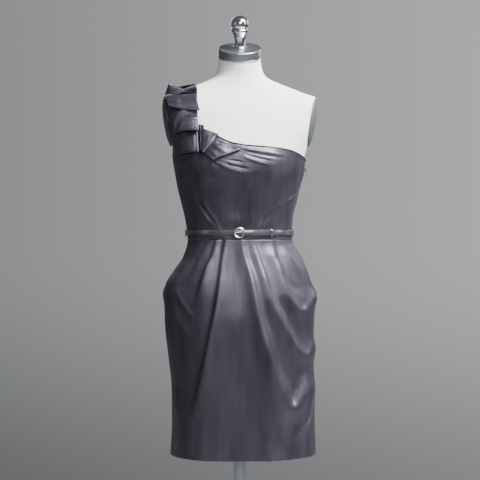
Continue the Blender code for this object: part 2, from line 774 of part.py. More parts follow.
def box(name, centre, size, bevel, finish):
    """A bevelled block by its centre and size."""
    form = bmesh.new()
    bmesh.ops.create_cube(form, size=1.0)
    bmesh.ops.scale(form, vec=np.array(size) * MM, verts=form.verts)
    bmesh.ops.translate(form, vec=np.array(centre) * MM, verts=form.verts)
    if bevel:
        bmesh.ops.bevel(form, geom=form.edges[:], offset=bevel * MM, segments=1, affect="EDGES")
    mesh = bpy.data.meshes.new(name)
    form.to_mesh(mesh)
    form.free()
    mesh.materials.append(finish)
    made = bpy.data.objects.new(name, mesh)
    bpy.context.scene.collection.objects.link(made)
    return made


def main():
    for old in list(bpy.data.objects):
        bpy.data.objects.remove(old, do_unlink=True)

    linen = material("linen", (0.78, 0.77, 0.74), 0.9)
    plate_grey = material("plate_grey", (0.13, 0.145, 0.145), 0.5)
    brushed = material("brushed_metal", (0.42, 0.43, 0.45), 0.32, 1.0)
    silver = material("silver", (0.72, 0.73, 0.76), 0.18, 1.0)
    iron = material("painted_iron", (0.05, 0.05, 0.055), 0.45)
    satin = material("satin", (0.075, 0.068, 0.09), 0.36)
    patent = material("patent", (0.045, 0.043, 0.05), 0.15)
    zip_metal = material("zip_metal", (0.25, 0.24, 0.27), 0.35, 1.0)

    rims = make_torso(linen)
    make_arm_plate("form_arm_plate_right", -1, rims[0], plate_grey)
    make_arm_plate("form_arm_plate_left", 1, rims[1], plate_grey)
    make_neck_top(brushed, silver)
    make_stand(brushed, iron)

    make_bodice(satin)
    make_strap(satin)
    make_flaps(satin)
    make_skirt(satin)
    make_pockets(satin)
    make_belt(patent, silver)
    over_belt("belt_keeper", turn_at(KEEPER_X), 6.0, 0.8, 7.6, 8.0, silver)
    over_belt("belt_loop_right", math.pi - 0.1, 9.0, 1.0, 5.2, 11.5, satin)
    over_belt("belt_loop_left", 0.03, 1.6, 1.0, 5.2, 13.0, satin)
    make_zip(zip_metal)


main()
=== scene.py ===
# %% [markdown]
# # A satin one-shoulder dress on its dress form
#
# The solids of this dress come packed in a fixed frame. This lesson loads them and builds the looks
# around them: fine cloth shells with pleats, a linen torso, turned metal and a glossy belt.
# Lengths in the tables are millimetres, because a dressmaker thinks in them. Meshes are in metres.

# %% Load the frame
import math
from collections import namedtuple

import bmesh
import bpy
import numpy as np
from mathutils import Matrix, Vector


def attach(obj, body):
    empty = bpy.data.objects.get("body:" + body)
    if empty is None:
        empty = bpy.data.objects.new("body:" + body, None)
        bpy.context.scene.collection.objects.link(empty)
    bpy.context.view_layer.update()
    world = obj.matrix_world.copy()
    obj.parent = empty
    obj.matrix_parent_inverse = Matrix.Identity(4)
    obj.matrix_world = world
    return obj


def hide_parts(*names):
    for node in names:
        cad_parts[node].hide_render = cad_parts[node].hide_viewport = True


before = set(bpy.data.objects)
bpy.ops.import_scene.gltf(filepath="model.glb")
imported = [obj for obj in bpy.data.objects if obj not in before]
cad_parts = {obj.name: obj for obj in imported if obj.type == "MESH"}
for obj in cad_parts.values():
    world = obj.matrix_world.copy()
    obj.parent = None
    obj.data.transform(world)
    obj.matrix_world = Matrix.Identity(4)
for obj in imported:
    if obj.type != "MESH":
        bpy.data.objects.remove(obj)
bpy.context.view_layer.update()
BODY = "dress_and_form"
MM = 0.001

# %% [markdown]
# ## Camera, floor and light
# The photo looks at the waist, level, from nearly three metres away, with 1.2 metres of height in
# view. A long lens keeps the form's proportions. The main light is one broad panel high at the
# right, which leaves the left side of the satin dark. A soft panel in front and a very weak one
# at the left keep that side readable, one lights the right edge, and two behind draw the outline.

# %% Camera
VIEW_DISTANCE = 2.85
VIEW_HEIGHT = 1.0325
VIEW_WIDTH = 1.2
SENSOR = 36.0

camera_data = bpy.data.cameras.new("camera")
camera_data.sensor_width = SENSOR
camera_data.lens = SENSOR * VIEW_DISTANCE / VIEW_WIDTH
camera = bpy.data.objects.new("camera", camera_data)
bpy.context.scene.collection.objects.link(camera)
camera.location = (0.00075, -VIEW_DISTANCE, VIEW_HEIGHT)
camera.rotation_euler = (math.radians(90), 0, 0)
bpy.context.scene.camera = camera
print("lens:", round(camera_data.lens, 1), "mm")


# %% Soft panels of light
def light_panel(name, place, aim, size, watts, spread=180):
    """A rectangular area light at a place, turned towards a point, its beam as wide as spread."""
    data = bpy.data.lights.new(name, "AREA")
    data.shape = "RECTANGLE"
    data.size, data.size_y = size
    data.energy = watts
    data.spread = math.radians(spread)
    lamp = bpy.data.objects.new(name, data)
    bpy.context.scene.collection.objects.link(lamp)
    lamp.location = place
    lamp.rotation_euler = (Vector(aim) - Vector(place)).to_track_quat("-Z", "Y").to_euler()
    return lamp


CHEST = (0, 0, 1.3)
light_panel("key_high", (1.7, -1.5, 3.9), CHEST, (1.4, 1.2), 196, spread=95)
light_panel("front_soft", (0.5, -3.1, 2.0), CHEST, (1.1, 1.3), 20, spread=110)
light_panel("right_edge", (2.9, -0.9, 2.1), CHEST, (0.9, 1.6), 9, spread=100)
light_panel("left_fill", (-2.4, -1.5, 1.5), CHEST, (0.9, 1.6), 0.8, spread=100)
light_panel("back_right", (2.1, 1.9, 2.4), CHEST, (1.2, 1.6), 20)
light_panel("back_left", (-0.8, 3.0, 2.6), CHEST, (1.4, 1.4), 16)
print("lights:", [lamp.name for lamp in bpy.data.lights])

# %% World and floor
# The backdrop that the camera sees is painted light: lighter towards the main light at the right, and darker
# towards the floor.
BACKDROP_LEFT = (0.26, 0.27, 0.275, 1)
BACKDROP_RIGHT = (0.47, 0.48, 0.49, 1)
ROOM_LIGHT = (0.115, 0.118, 0.125, 1)

world = bpy.data.worlds.new("studio")
world.use_nodes = True
sky = world.node_tree
direction = sky.nodes.new("ShaderNodeTexCoord").outputs["Generated"]
apart = sky.nodes.new("ShaderNodeSeparateXYZ")
sky.links.new(direction, apart.inputs[0])
ramp = sky.nodes.new("ShaderNodeMapRange")
ramp.inputs["From Min"].default_value = -0.22
ramp.inputs["From Max"].default_value = 0.22
sky.links.new(apart.outputs["X"], ramp.inputs["Value"])
backdrop = sky.nodes.new("ShaderNodeMix")
backdrop.data_type = "RGBA"
backdrop.inputs[6].default_value = BACKDROP_LEFT
backdrop.inputs[7].default_value = BACKDROP_RIGHT
sky.links.new(ramp.outputs["Result"], backdrop.inputs[0])
seen_or_lighting = sky.nodes.new("ShaderNodeMix")
seen_or_lighting.data_type = "RGBA"
seen_or_lighting.inputs[6].default_value = ROOM_LIGHT
sky.links.new(sky.nodes.new("ShaderNodeLightPath").outputs["Is Camera Ray"], seen_or_lighting.inputs[0])
level = sky.nodes.new("ShaderNodeMapRange")
level.interpolation_type = "SMOOTHSTEP"
for title, value in {"From Min": -0.24, "From Max": 0.0, "To Min": 0.50, "To Max": 1.06}.items():
    level.inputs[title].default_value = value
sky.links.new(apart.outputs["Z"], level.inputs["Value"])
darker_below = sky.nodes.new("ShaderNodeVectorMath")
darker_below.operation = "SCALE"
sky.links.new(backdrop.outputs[2], darker_below.inputs[0])
sky.links.new(level.outputs["Result"], darker_below.inputs["Scale"])
sky.links.new(darker_below.outputs[0], seen_or_lighting.inputs[7])
sky.links.new(seen_or_lighting.outputs[2], sky.nodes["Background"].inputs["Color"])
bpy.context.scene.world = world

floor_mesh = bpy.data.meshes.new("studio_floor")
FLOOR_HALF = 1.95
corners = [(-1, -1), (1, -1), (1, 1), (-1, 1)]
floor_mesh.from_pydata([(x * FLOOR_HALF, y * FLOOR_HALF, -0.001) for x, y in corners], [], [(0, 1, 2, 3)])
floor = bpy.data.objects.new("studio_floor", floor_mesh)
bpy.context.scene.collection.objects.link(floor)
floor_paint = bpy.data.materials.new("pale_floor")
floor_paint.use_nodes = True
floor_shader = floor_paint.node_tree.nodes["Principled BSDF"]
floor_shader.inputs["Base Color"].default_value = (0.34, 0.345, 0.35, 1)
floor_shader.inputs["Roughness"].default_value = 0.8
floor_mesh.materials.append(floor_paint)
print("floor:", 2 * FLOOR_HALF, "m square")

# %% [markdown]
# ## The body under the cloth
# A dress form is a stack of level sections. Each row below gives a level, the half widths to the
# wearer's right and left, the depths in front and behind, how square the section is, and how far
# the section leans forward, which only the neck does. Everything else is measured off these rows.

# %% Sections of the torso and of the dress
Section = namedtuple("Section", "height left right front back square lean")

FORM_SECTIONS = [
    Section(690, 150, 150, 100, 104, 2.2, 0),
    Section(740, 160, 160, 108, 110, 2.2, 0),
    Section(820, 167, 167, 111, 113, 2.2, 0),
    Section(880, 165, 165, 109, 112, 2.2, 0),
    Section(930, 151, 151, 103, 104, 2.2, 0),
    Section(975, 134, 134, 95, 93, 2.2, 0),
    Section(1032, 125, 125, 89, 82, 2.2, 0),
    Section(1050, 125, 125, 89, 81, 2.2, 0),
    Section(1082, 127, 127, 92, 83, 2.2, 0),
    Section(1132, 138, 138, 100, 89, 2.2, 0),
    Section(1170, 147, 147, 108, 94, 2.2, 0),
    Section(1200, 154, 154, 114, 97, 2.2, 0),
    Section(1225, 158, 158, 117, 99, 2.2, 0),
    Section(1262, 167, 167, 112, 101, 2.3, 0),
    Section(1300, 181, 181, 101, 102, 2.4, 0),
    Section(1340, 196, 196, 88, 98, 2.3, 0),
    Section(1370, 204, 204, 75, 86, 2.1, 0),
    Section(1386, 195, 195, 67, 76, 1.9, 0),
    Section(1398, 162, 162, 62, 71, 1.8, 0),
    Section(1410, 131, 131, 57, 68, 1.85, 0),
    Section(1422, 101, 101, 54, 66, 1.9, 1),
    Section(1432, 78, 78, 53, 66, 1.95, 4),
    Section(1441, 65, 65, 52, 64, 2.0, 8),
    Section(1455, 57, 57, 52, 56, 2.0, 14),
    Section(1475, 53, 53, 54, 47, 2.0, 20),
    Section(1493, 52, 52, 56, 40, 2.0, 25),
]

DRESS_SECTIONS = [
    Section(501, 173, 190, 124, 112, 2.2, 0),
    Section(577, 169, 187, 126, 113, 2.2, 0),
    Section(665, 170, 185, 128, 115, 2.2, 0),
    Section(750, 179, 184, 130, 118, 2.2, 0),
    Section(832, 187, 186, 130, 120, 2.2, 0),
    Section(887, 188, 188, 126, 120, 2.2, 0),
    Section(925, 183, 179, 120, 116, 2.2, 0),
    Section(962, 161, 167, 111, 108, 2.2, 0),
    Section(992, 141, 154, 103, 99, 2.2, 0),
    Section(1033, 130, 131.5, 94.5, 88, 2.2, 0),
    Section(1050, 131, 131, 94.5, 87, 2.2, 0),
    Section(1082, 136, 132, 98, 89, 2.2, 0),
    Section(1132, 148, 144, 106, 95, 2.2, 0),
    Section(1170, 156, 152.5, 114, 99.5, 2.2, 0),
    Section(1200, 162, 160, 119.5, 102, 2.2, 0),
    Section(1225, 166.5, 163.5, 121, 103.5, 2.2, 0),
]
print(len(FORM_SECTIONS), "torso sections,", len(DRESS_SECTIONS), "dress sections")


# %% Reading a table smoothly
def smooth_step(value):
    value = np.clip(value, 0, 1)
    return value * value * (3 - 2 * value)


def read_smoothly(places, values, at):
    """A monotone cubic through the points, so a curve never swings past them."""
    places = np.asarray(places, float)
    values = np.asarray(values, float)
    at = np.clip(at, places[0], places[-1])
    width = np.diff(places)
    slope = np.diff(values) / width
    tangent = np.zeros(len(places))
    tangent[0], tangent[-1] = slope[0], slope[-1]
    same_way = slope[:-1] * slope[1:] > 0
    middle = np.zeros(len(slope) - 1)
    middle[same_way] = (2 * slope[:-1] * slope[1:])[same_way] / (slope[:-1] + slope[1:])[same_way]
    tangent[1:-1] = middle
    cell = np.clip(np.searchsorted(places, at, side="right") - 1, 0, len(width) - 1)
    part = (at - places[cell]) / width[cell]
    rest = 1 - part
    start = values[cell] * (1 + 2 * part) + tangent[cell] * width[cell] * part
    finish = values[cell + 1] * (3 - 2 * part) - tangent[cell + 1] * width[cell] * rest
    return start * rest**2 + finish * part**2


# %% [markdown]
# The bust is two soft swells added to the front of the sections, on torso and bodice alike. A round
# swell is easier to tune than extra rows, because its place, spread and rise are three plain sizes.

# %% A body of sections
BUST_X, BUST_LEVEL, BUST_SPREAD, BUST_RISE = 78.0, 1205.0, 46.0, 9.0


def bust_swell(x, height):
    near = ((np.abs(x) - BUST_X) / BUST_SPREAD) ** 2
    level = ((height - BUST_LEVEL) / BUST_SPREAD) ** 2
    return BUST_RISE * np.exp(-near - level)


class Body:
    """Turn 0 is +X, 90 degrees the front (-Y), 180 degrees -X."""

    def __init__(self, sections):
        self.table = np.array(sections, float)

    def column(self, index, height):
        return read_smoothly(self.table[:, 0], self.table[:, index], height)

    def points(self, turn, height):
        turn, height = np.broadcast_arrays(turn, height)
        across, along = np.cos(turn), np.sin(turn)
        power = 2 / self.column(5, height)
        half = np.where(across < 0, self.column(1, height), self.column(2, height))
        deep = np.where(along > 0, self.column(3, height), self.column(4, height))
        x = half * np.sign(across) * np.abs(across) ** power
        y = -deep * np.sign(along) * np.abs(along) ** power
        y = y - bust_swell(x, height) * np.clip(along, 0, 1)
        z = height + y * np.tan(np.radians(self.column(6, height)))
        return np.stack([x, y, z], axis=-1)

    def outward(self, turn, height):
        nudge = math.radians(0.5)
        around = self.points(turn + nudge, height) - self.points(turn - nudge, height)
        upward = self.points(turn, height + 1.0) - self.points(turn, height - 1.0)
        normal = np.cross(upward, around)
        return normal / np.linalg.norm(normal, axis=-1, keepdims=True)

    def face_y(self, x, height, way):
        """Y of the front (-1) or back (1) face at X, or of the crest where there is none."""
        half = np.where(x < 0, self.column(1, height), self.column(2, height))
        square = self.column(5, height)
        room = np.clip(1 - np.abs(x / half) ** square, 0, 1)
        depth = self.column(3 if way < 0 else 4, height) * room ** (1 / square)
        swell = bust_swell(x, height) * room if way < 0 else 0
        return way * (depth + swell)

    def crest(self, distance):
        levels = np.linspace(1390, 1440, 120)
        return np.interp(-distance, -self.column(1, levels), levels)


STRAP_EASE, STRAP_RISE = 2.7, 1.8
SHOULDER_STARTS, SHOULDER_SLOPE = 1340.0, 50.0
CHEST_STARTS = 1250.0


def eased(section):
    """A torso section let out for the cloth that lies on it."""
    slope = smooth_step((section.height - SHOULDER_STARTS) / SHOULDER_SLOPE)
    return section._replace(
        height=section.height + STRAP_RISE * slope,
        left=section.left + STRAP_EASE,
        right=section.right + STRAP_EASE,
        front=section.front + STRAP_EASE,
        back=section.back + STRAP_EASE,
    )


FORM = Body(FORM_SECTIONS)
DRESS = Body(DRESS_SECTIONS + [eased(row) for row in FORM_SECTIONS if row.height > CHEST_STARTS])
waist = DRESS.points(np.linspace(0, 2 * math.pi, 361), 1050.0)
print("waist of the dress:", round(float(np.linalg.norm(np.diff(waist, axis=0), axis=1).sum())), "mm")

# %% [markdown]
# ## How a pleat is drawn
# A pleat in satin has one steep face and one soft one: the cloth climbs sharply over the tuck and
# then falls away slowly. Each row of the tables is one such pleat, as a curve through a few points
# seen from the front. The cloth is raised by its distance from that curve. Simulated cloth would
# fold where it likes, while these folds lie where the photo has them.

# %% Pleats and creases
Fold = namedtuple("Fold", "name route height edges spreads seam_share fade")
Crease = namedtuple("Crease", "start middle end height width")
CURVE_STEPS = 140


def to_curve(points, curve):
    """Signed distance to a curve in the front view, and the share of its length there."""
    place = np.stack([points[..., 0], points[..., 2]], axis=-1)
    heading = np.gradient(curve, axis=0)
    stride = np.linalg.norm(heading, axis=-1)
    nearest = np.zeros(place.shape[:-1], int)
    best = np.full(place.shape[:-1], np.inf)
    for step, spot in enumerate(curve):
        far = ((place - spot) ** 2).sum(-1)
        closer = far < best
        best[closer] = far[closer]
        nearest[closer] = step
    gap = place - curve[nearest]
    ahead = heading[nearest] / stride[nearest][..., None]
    across = ahead[..., 0] * gap[..., 1] - ahead[..., 1] * gap[..., 0]
    onward = (ahead * gap).sum(-1)
    last = len(curve) - 1
    past_end = ((nearest == 0) & (onward < 0)) | ((nearest == last) & (onward > 0))
    distance = np.where(across < 0, -1.0, 1.0) * np.hypot(across, np.where(past_end, onward, 0))
    along = (nearest + np.clip(onward / stride[nearest], -0.5, 0.5)) / last
    return distance, np.clip(along, 0, 1)


def smooth_route(route, count=CURVE_STEPS):
    """A curve through the route's points, evenly stepped, that bends softly at each of them."""
    route = np.array(route, float)
    gone = np.concatenate([[0], np.cumsum(np.linalg.norm(np.diff(route, axis=0), axis=1))])
    steps = np.linspace(0, gone[-1], count)
    return np.stack([read_smoothly(gone, column, steps) for column in route.T], axis=-1)


def fold_height(fold, points):
    curve = smooth_route(fold.route)
    distance, along = to_curve(points, curve)
    distance = distance * (1 if fold.route[0][0] < 0 else -1)
    grown = fold.seam_share + (1 - fold.seam_share) * smooth_step(along / 0.45)
    strength = grown * (1 - smooth_step((along - fold.fade) / (1.001 - fold.fade)))
    edge = fold.edges[0] + (fold.edges[1] - fold.edges[0]) * along**2
    spread = fold.spreads[0] + (fold.spreads[1] - fold.spreads[0]) * along
    rise = 1 / (1 + np.exp(np.clip(-distance / edge, -30, 30)))
    fall = np.exp(-(np.clip(distance, 0, None) / spread) ** 1.3)
    return fold.height * strength * rise * fall


def bent_line(crease, count):
    """A curve from the crease's start to its end, drawn towards its middle."""
    share = np.linspace(0, 1, count)[:, None]
    rest = 1 - share
    start, middle, end = (np.array(point, float) for point in crease[:3])
    return start * rest**2 + 2 * middle * rest * share + end * share**2


def crease_height(crease, points):
    """A soft ridge, or a trough where its height is negative, that fades at both ends."""
    distance, along = to_curve(points, bent_line(crease, 24))
    ends = smooth_step(along / 0.25) * smooth_step((1 - along) / 0.35)
    return crease.height * ends * np.exp(-((distance / crease.width) ** 2))


def raised(points, folds=(), creases=()):
    height = np.zeros(points.shape[:-1])
    for fold in folds:
        height += fold_height(fold, points)
    for crease in creases:
        height += crease_height(crease, points)
    return height


# %% [markdown]
# ## Shaders as small shared tools
# Each effect is one node group with named inputs: soft tone changes, small creases, a woven face,
# brushing, dust. A material sets the groups side by side with its own values, and the shader's own
# sockets hold what never changes over the surface. Procedural patterns stay sharp at any distance.


# %% Helpers for node trees
def new_group(name, inputs, outputs):
    group = bpy.data.node_groups.new(name, "ShaderNodeTree")
    for title, value in inputs.items():
        kind = "NodeSocketFloat"
        if isinstance(value, tuple):
            kind = "NodeSocketColor" if len(value) == 4 else "NodeSocketVector"
        group.interface.new_socket(title, in_out="INPUT", socket_type=kind).default_value = value
    for title, kind in outputs.items():
        group.interface.new_socket(title, in_out="OUTPUT", socket_type="NodeSocket" + kind)
    entry = group.nodes.new("NodeGroupInput")
    leave = group.nodes.new("NodeGroupOutput")
    return group, entry.outputs, leave.inputs


def add(tree, kind, links=(), **settings):
    """A node with its settings, and its sockets fed from other sockets or from plain values."""
    node = tree.nodes.new("ShaderNode" + kind)
    for key, value in settings.items():
        setattr(node, key, value)
    for socket, source in dict(links).items():
        if isinstance(source, bpy.types.NodeSocket):
            tree.links.new(source, node.inputs[socket])
        else:
            node.inputs[socket].default_value = source
    return node


def maths(tree, operation, first, second=0.0, third=0.0):
    node = add(tree, "Math", {0: first, 1: second, 2: third}, operation=operation)
    return node.outputs[0]


def stretched_noise(tree, scale, stretch, detail=3.0, source="Object"):
    """Noise over the object's own coordinates, drawn out along each axis by the stretch."""
    place = add(tree, "TexCoord").outputs[source]
    drawn = add(tree, "VectorMath", {0: place, 1: stretch}, operation="MULTIPLY").outputs[0]
    noise = add(tree, "TexNoise", {"Vector": drawn, "Scale": scale, "Detail": detail, "Roughness": 0.55})
    return noise.outputs["Fac"]


def clear_between(tree, value, low, high):
    """The value spread from 0 at low to 1 at high, softly."""
    links = {"Value": value, "From Min": low, "From Max": high}
    return add(tree, "MapRange", links, interpolation_type="SMOOTHSTEP").outputs["Result"]


def mixed(tree, factor, first, second):
    node = add(tree, "Mix", {0: factor, 6: first, 7: second}, data_type="RGBA")
    return node.outputs[2]


# %% Shared effects
GREY = (0.5, 0.5, 0.5, 1)
EVEN = (1.0, 1.0, 1.0)


def make_soft_tone():
    inputs = {"Color": GREY, "Second Color": GREY, "Scale": 20.0, "Stretch": EVEN, "Contrast": 0.15}
    tree, given, put = new_group("soft_tone", inputs, {"Color": "Color"})
    noise = stretched_noise(tree, given["Scale"], given["Stretch"])
    low = maths(tree, "SUBTRACT", 0.5, given["Contrast"])
    high = maths(tree, "ADD", 0.5, given["Contrast"])
    mask = clear_between(tree, noise, low, high)
    tree.links.new(mixed(tree, mask, given["Color"], given["Second Color"]), put["Color"])
    return tree


def make_small_creases():
    inputs = {"Scale": 14.0, "Stretch": EVEN, "Fine Share": 0.2}
    tree, given, put = new_group("small_creases", inputs, {"Height": "Float"})
    broad = stretched_noise(tree, given["Scale"], given["Stretch"], detail=1.0)
    fine_scale = maths(tree, "MULTIPLY", given["Scale"], 4.3)
    fine = stretched_noise(tree, fine_scale, given["Stretch"], detail=2.0)
    tree.links.new(maths(tree, "MULTIPLY_ADD", fine, given["Fine Share"], broad), put["Height"])
    return tree


def make_woven_face():
    """Threads over and under, from the lengths along the cloth, thicker and thinner in places."""
    inputs = {"Threads": 900.0, "Float Length": 1.0, "Slub": 0.4}
    outputs = {"Height": "Float", "Tone": "Float"}
    tree, given, put = new_group("woven_face", inputs, outputs)
    place = add(tree, "TexCoord").outputs["UV"]
    apart = add(tree, "SeparateXYZ", {0: place}).outputs
    around = maths(tree, "MULTIPLY", given["Threads"], 2 * math.pi)
    across = maths(tree, "MULTIPLY", apart["X"], around)
    slower = maths(tree, "DIVIDE", around, given["Float Length"])
    along = maths(tree, "MULTIPLY", apart["Y"], slower)
    warp = maths(tree, "SINE", across)
    weft = maths(tree, "SINE", maths(tree, "ADD", along, maths(tree, "MULTIPLY", across, 0.5)))
    woven = maths(tree, "MULTIPLY_ADD", warp, weft, 0.5)
    thick_warp = stretched_noise(tree, 1.0, (900.0, 14.0, 1.0), 1.0, "UV")
    thick_weft = stretched_noise(tree, 1.0, (14.0, 900.0, 1.0), 1.0, "UV")
    slub = maths(tree, "ADD", thick_warp, thick_weft)
    height = maths(tree, "MULTIPLY_ADD", slub, given["Slub"], woven)
    tree.links.new(height, put["Height"])
    tree.links.new(clear_between(tree, slub, 0.75, 1.25), put["Tone"])
    return tree


def make_brushing():
    inputs = {"Scale": 60.0, "Stretch": EVEN, "Roughness": 0.3, "Spread": 0.12}
    outputs = {"Roughness": "Float", "Height": "Float"}
    tree, given, put = new_group("brushing", inputs, outputs)
    noise = stretched_noise(tree, given["Scale"], given["Stretch"], detail=4.0)
    centred = maths(tree, "SUBTRACT", noise, 0.5)
    tree.links.new(
        maths(tree, "MULTIPLY_ADD", centred, given["Spread"], given["Roughness"]), put["Roughness"]
    )
    tree.links.new(noise, put["Height"])
    return tree


def make_settled_dust():
    inputs = {"Color": GREY, "Dust Color": (0.6, 0.59, 0.57, 1), "Amount": 0.1}
    tree, given, put = new_group("settled_dust", inputs, {"Color": "Color"})
    normal = add(tree, "NewGeometry").outputs["Normal"]
    upward = add(tree, "SeparateXYZ", {0: normal}).outputs["Z"]
    facing = clear_between(tree, upward, 0.1, 1.0)
    patchy = clear_between(tree, stretched_noise(tree, 90.0, EVEN), 0.35, 0.7)
    mask = maths(tree, "MULTIPLY", maths(tree, "MULTIPLY", facing, patchy), given["Amount"])
    tree.links.new(mixed(tree, mask, given["Color"], given["Dust Color"]), put["Color"])
    return tree


SOFT_TONE = make_soft_tone()
SMALL_CREASES = make_small_creases()
WOVEN_FACE = make_woven_face()
BRUSHING = make_brushing()
SETTLED_DUST = make_settled_dust()
print("shared effects:", [group.name for group in bpy.data.node_groups])

# %% [markdown]
# ## The finishes
# Satin is dark but never black: its long floating threads throw light back in a wide, soft band.
# A share of metal and an uneven, anisotropic gloss give that band here, and streaks of tone and
# roughness down the cloth break it up. The linen is matt and thready, the neck cap brushed round,
# the finial polished and the belt lacquered under a clear coat.


# %% Building a material
def new_material(name, **constants):
    made = bpy.data.materials.new(name)
    made.use_nodes = True
    tree = made.node_tree
    shader = tree.nodes["Principled BSDF"]
    for title, value in constants.items():
        shader.inputs[title.replace("_", " ")].default_value = value
    return made, tree, shader


def place_group(tree, group, **values):
    node = tree.nodes.new("ShaderNodeGroup")
    node.node_tree = group
    for title, value in values.items():
        socket = node.inputs[title.replace("_", " ")]
        if isinstance(value, bpy.types.NodeSocket):
            tree.links.new(value, socket)
        else:
            socket.default_value = value
    return node.outputs


def bump(tree, shader, *layers):
    """Height layers (height, strength, depth in metres), each laid over the one before."""
    normal = None
    for height, strength, depth in layers:
        links = {"Height": height, "Strength": strength, "Distance": depth}
        if normal is not None:
            links["Normal"] = normal
        normal = add(tree, "Bump", links).outputs["Normal"]
    tree.links.new(normal, shader.inputs["Normal"])


# %% Satin
def make_satin(name, dark, light, roughness):
    made, tree, shader = new_material(
        name,
        Metallic=0.72,
        Anisotropic=0.55,
        Specular_IOR_Level=0.5,
        Sheen_Weight=0.05,
        Sheen_Roughness=0.35,
        Sheen_Tint=(0.70, 0.66, 0.80, 1),
    )
    tone = place_group(
        tree, SOFT_TONE, Color=dark, Second_Color=light, Scale=34.0, Stretch=(1.0, 1.0, 0.16), Contrast=0.3
    )
    tree.links.new(tone["Color"], shader.inputs["Base Color"])
    gloss = place_group(
        tree, BRUSHING, Scale=46.0, Stretch=(1.0, 1.0, 0.14), Roughness=roughness, Spread=0.30
    )
    tree.links.new(gloss["Roughness"], shader.inputs["Roughness"])
    creases = place_group(tree, SMALL_CREASES, Scale=18.0, Stretch=(1.0, 1.0, 0.4), Fine_Share=0.22)
    threads = place_group(tree, WOVEN_FACE, Threads=2600.0, Float_Length=5.0, Slub=0.6)
    bump(tree, shader, (creases["Height"], 0.6, 0.006), (threads["Height"], 0.25, 0.0002))
    return made


SATIN = make_satin("satin", (0.050, 0.045, 0.061, 1), (0.082, 0.074, 0.099, 1), 0.36)
# A darker copy of the satin, painted shade: it stands for the shadow in turned edges, seams, pocket mouths
# and punched holes.
SATIN_PAINTED_SHADE = make_satin("satin_turned_edge", (0.020, 0.018, 0.025, 1), (0.028, 0.025, 0.034, 1), 0.55)

# %% Linen, paint and plastic
LINEN, tree, shader = new_material("linen", Roughness=0.92, Specular_IOR_Level=0.25, Sheen_Weight=0.08)
tone = place_group(
    tree, SOFT_TONE, Color=(0.74, 0.735, 0.715, 1), Second_Color=(0.79, 0.785, 0.77, 1), Scale=7.0
)
dusted = place_group(tree, SETTLED_DUST, Color=tone["Color"], Amount=0.06)
threads = place_group(tree, WOVEN_FACE, Threads=850.0, Float_Length=1.0, Slub=0.9)
slubbed = mixed(tree, maths(tree, "MULTIPLY", threads["Tone"], 0.12), dusted["Color"], (0.62, 0.60, 0.56, 1))
tree.links.new(slubbed, shader.inputs["Base Color"])
bump(tree, shader, (threads["Height"], 0.35, 0.0003))

PLATE_GREY, tree, shader = new_material("plate_grey", Specular_IOR_Level=0.45)
tone = place_group(
    tree, SOFT_TONE, Color=(0.048, 0.057, 0.057, 1), Second_Color=(0.060, 0.070, 0.070, 1), Scale=14.0
)
dusted = place_group(tree, SETTLED_DUST, Color=tone["Color"], Amount=0.12)
tree.links.new(dusted["Color"], shader.inputs["Base Color"])
grain = place_group(tree, BRUSHING, Scale=420.0, Roughness=0.62, Spread=0.15)
tree.links.new(grain["Roughness"], shader.inputs["Roughness"])
bump(tree, shader, (grain["Height"], 0.2, 0.0002))

PAINTED_IRON, tree, shader = new_material("painted_iron", Specular_IOR_Level=0.5)
tone = place_group(
    tree, SOFT_TONE, Color=(0.045, 0.045, 0.05, 1), Second_Color=(0.06, 0.06, 0.064, 1), Scale=30.0
)
dusted = place_group(tree, SETTLED_DUST, Color=tone["Color"], Amount=0.03)
tree.links.new(dusted["Color"], shader.inputs["Base Color"])
cast = place_group(tree, BRUSHING, Scale=240.0, Roughness=0.42, Spread=0.2)
tree.links.new(cast["Roughness"], shader.inputs["Roughness"])
bump(tree, shader, (cast["Height"], 0.35, 0.0005))


# %% Metals and the lacquered belt
def make_metal(name, color, worn, roughness, stretch, scale=60.0, spread=0.14, depth=0.00008):
    made, tree, shader = new_material(name, Metallic=1.0)
    tone = place_group(tree, SOFT_TONE, Color=color, Second_Color=worn, Scale=scale / 3, Stretch=stretch)
    dusted = place_group(tree, SETTLED_DUST, Color=tone["Color"], Amount=0.04)
    tree.links.new(dusted["Color"], shader.inputs["Base Color"])
    lines = place_group(tree, BRUSHING, Scale=scale, Stretch=stretch, Roughness=roughness, Spread=spread)
    tree.links.new(lines["Roughness"], shader.inputs["Roughness"])
    bump(tree, shader, (lines["Height"], 0.3, depth))
    return made


ROUND_BRUSHED = (0.25, 0.25, 18.0)
BRUSHED = make_metal("brushed_metal", (0.40, 0.42, 0.44, 1), (0.34, 0.36, 0.38, 1), 0.34, ROUND_BRUSHED)
SILVER = make_metal("silver", (0.72, 0.73, 0.76, 1), (0.64, 0.65, 0.69, 1), 0.17, EVEN, 40.0, 0.08)
ZIP_METAL = make_metal("zip_metal", (0.13, 0.12, 0.145, 1), (0.09, 0.085, 0.10, 1), 0.38, EVEN, 300.0)

PATENT, tree, shader = new_material(
    "patent", Specular_IOR_Level=0.6, Coat_Weight=0.9, Coat_Roughness=0.08, Metallic=0.2
)
tone = place_group(
    tree, SOFT_TONE, Color=(0.035, 0.034, 0.04, 1), Second_Color=(0.06, 0.057, 0.066, 1), Scale=35.0
)
tree.links.new(tone["Color"], shader.inputs["Base Color"])
grain = place_group(tree, BRUSHING, Scale=180.0, Roughness=0.24, Spread=0.14)
tree.links.new(grain["Roughness"], shader.inputs["Roughness"])
creases = place_group(tree, SMALL_CREASES, Scale=55.0, Stretch=(1.0, 1.0, 0.5), Fine_Share=0.3)
bump(tree, shader, (creases["Height"], 0.35, 0.0012))

THREAD, tree, shader = new_material("thread", Roughness=0.55, Sheen_Weight=0.2)
tone = place_group(
    tree, SOFT_TONE, Color=(0.05, 0.046, 0.06, 1), Second_Color=(0.08, 0.074, 0.095, 1), Scale=900.0
)
tree.links.new(tone["Color"], shader.inputs["Base Color"])
print("materials:", len(bpy.data.materials))

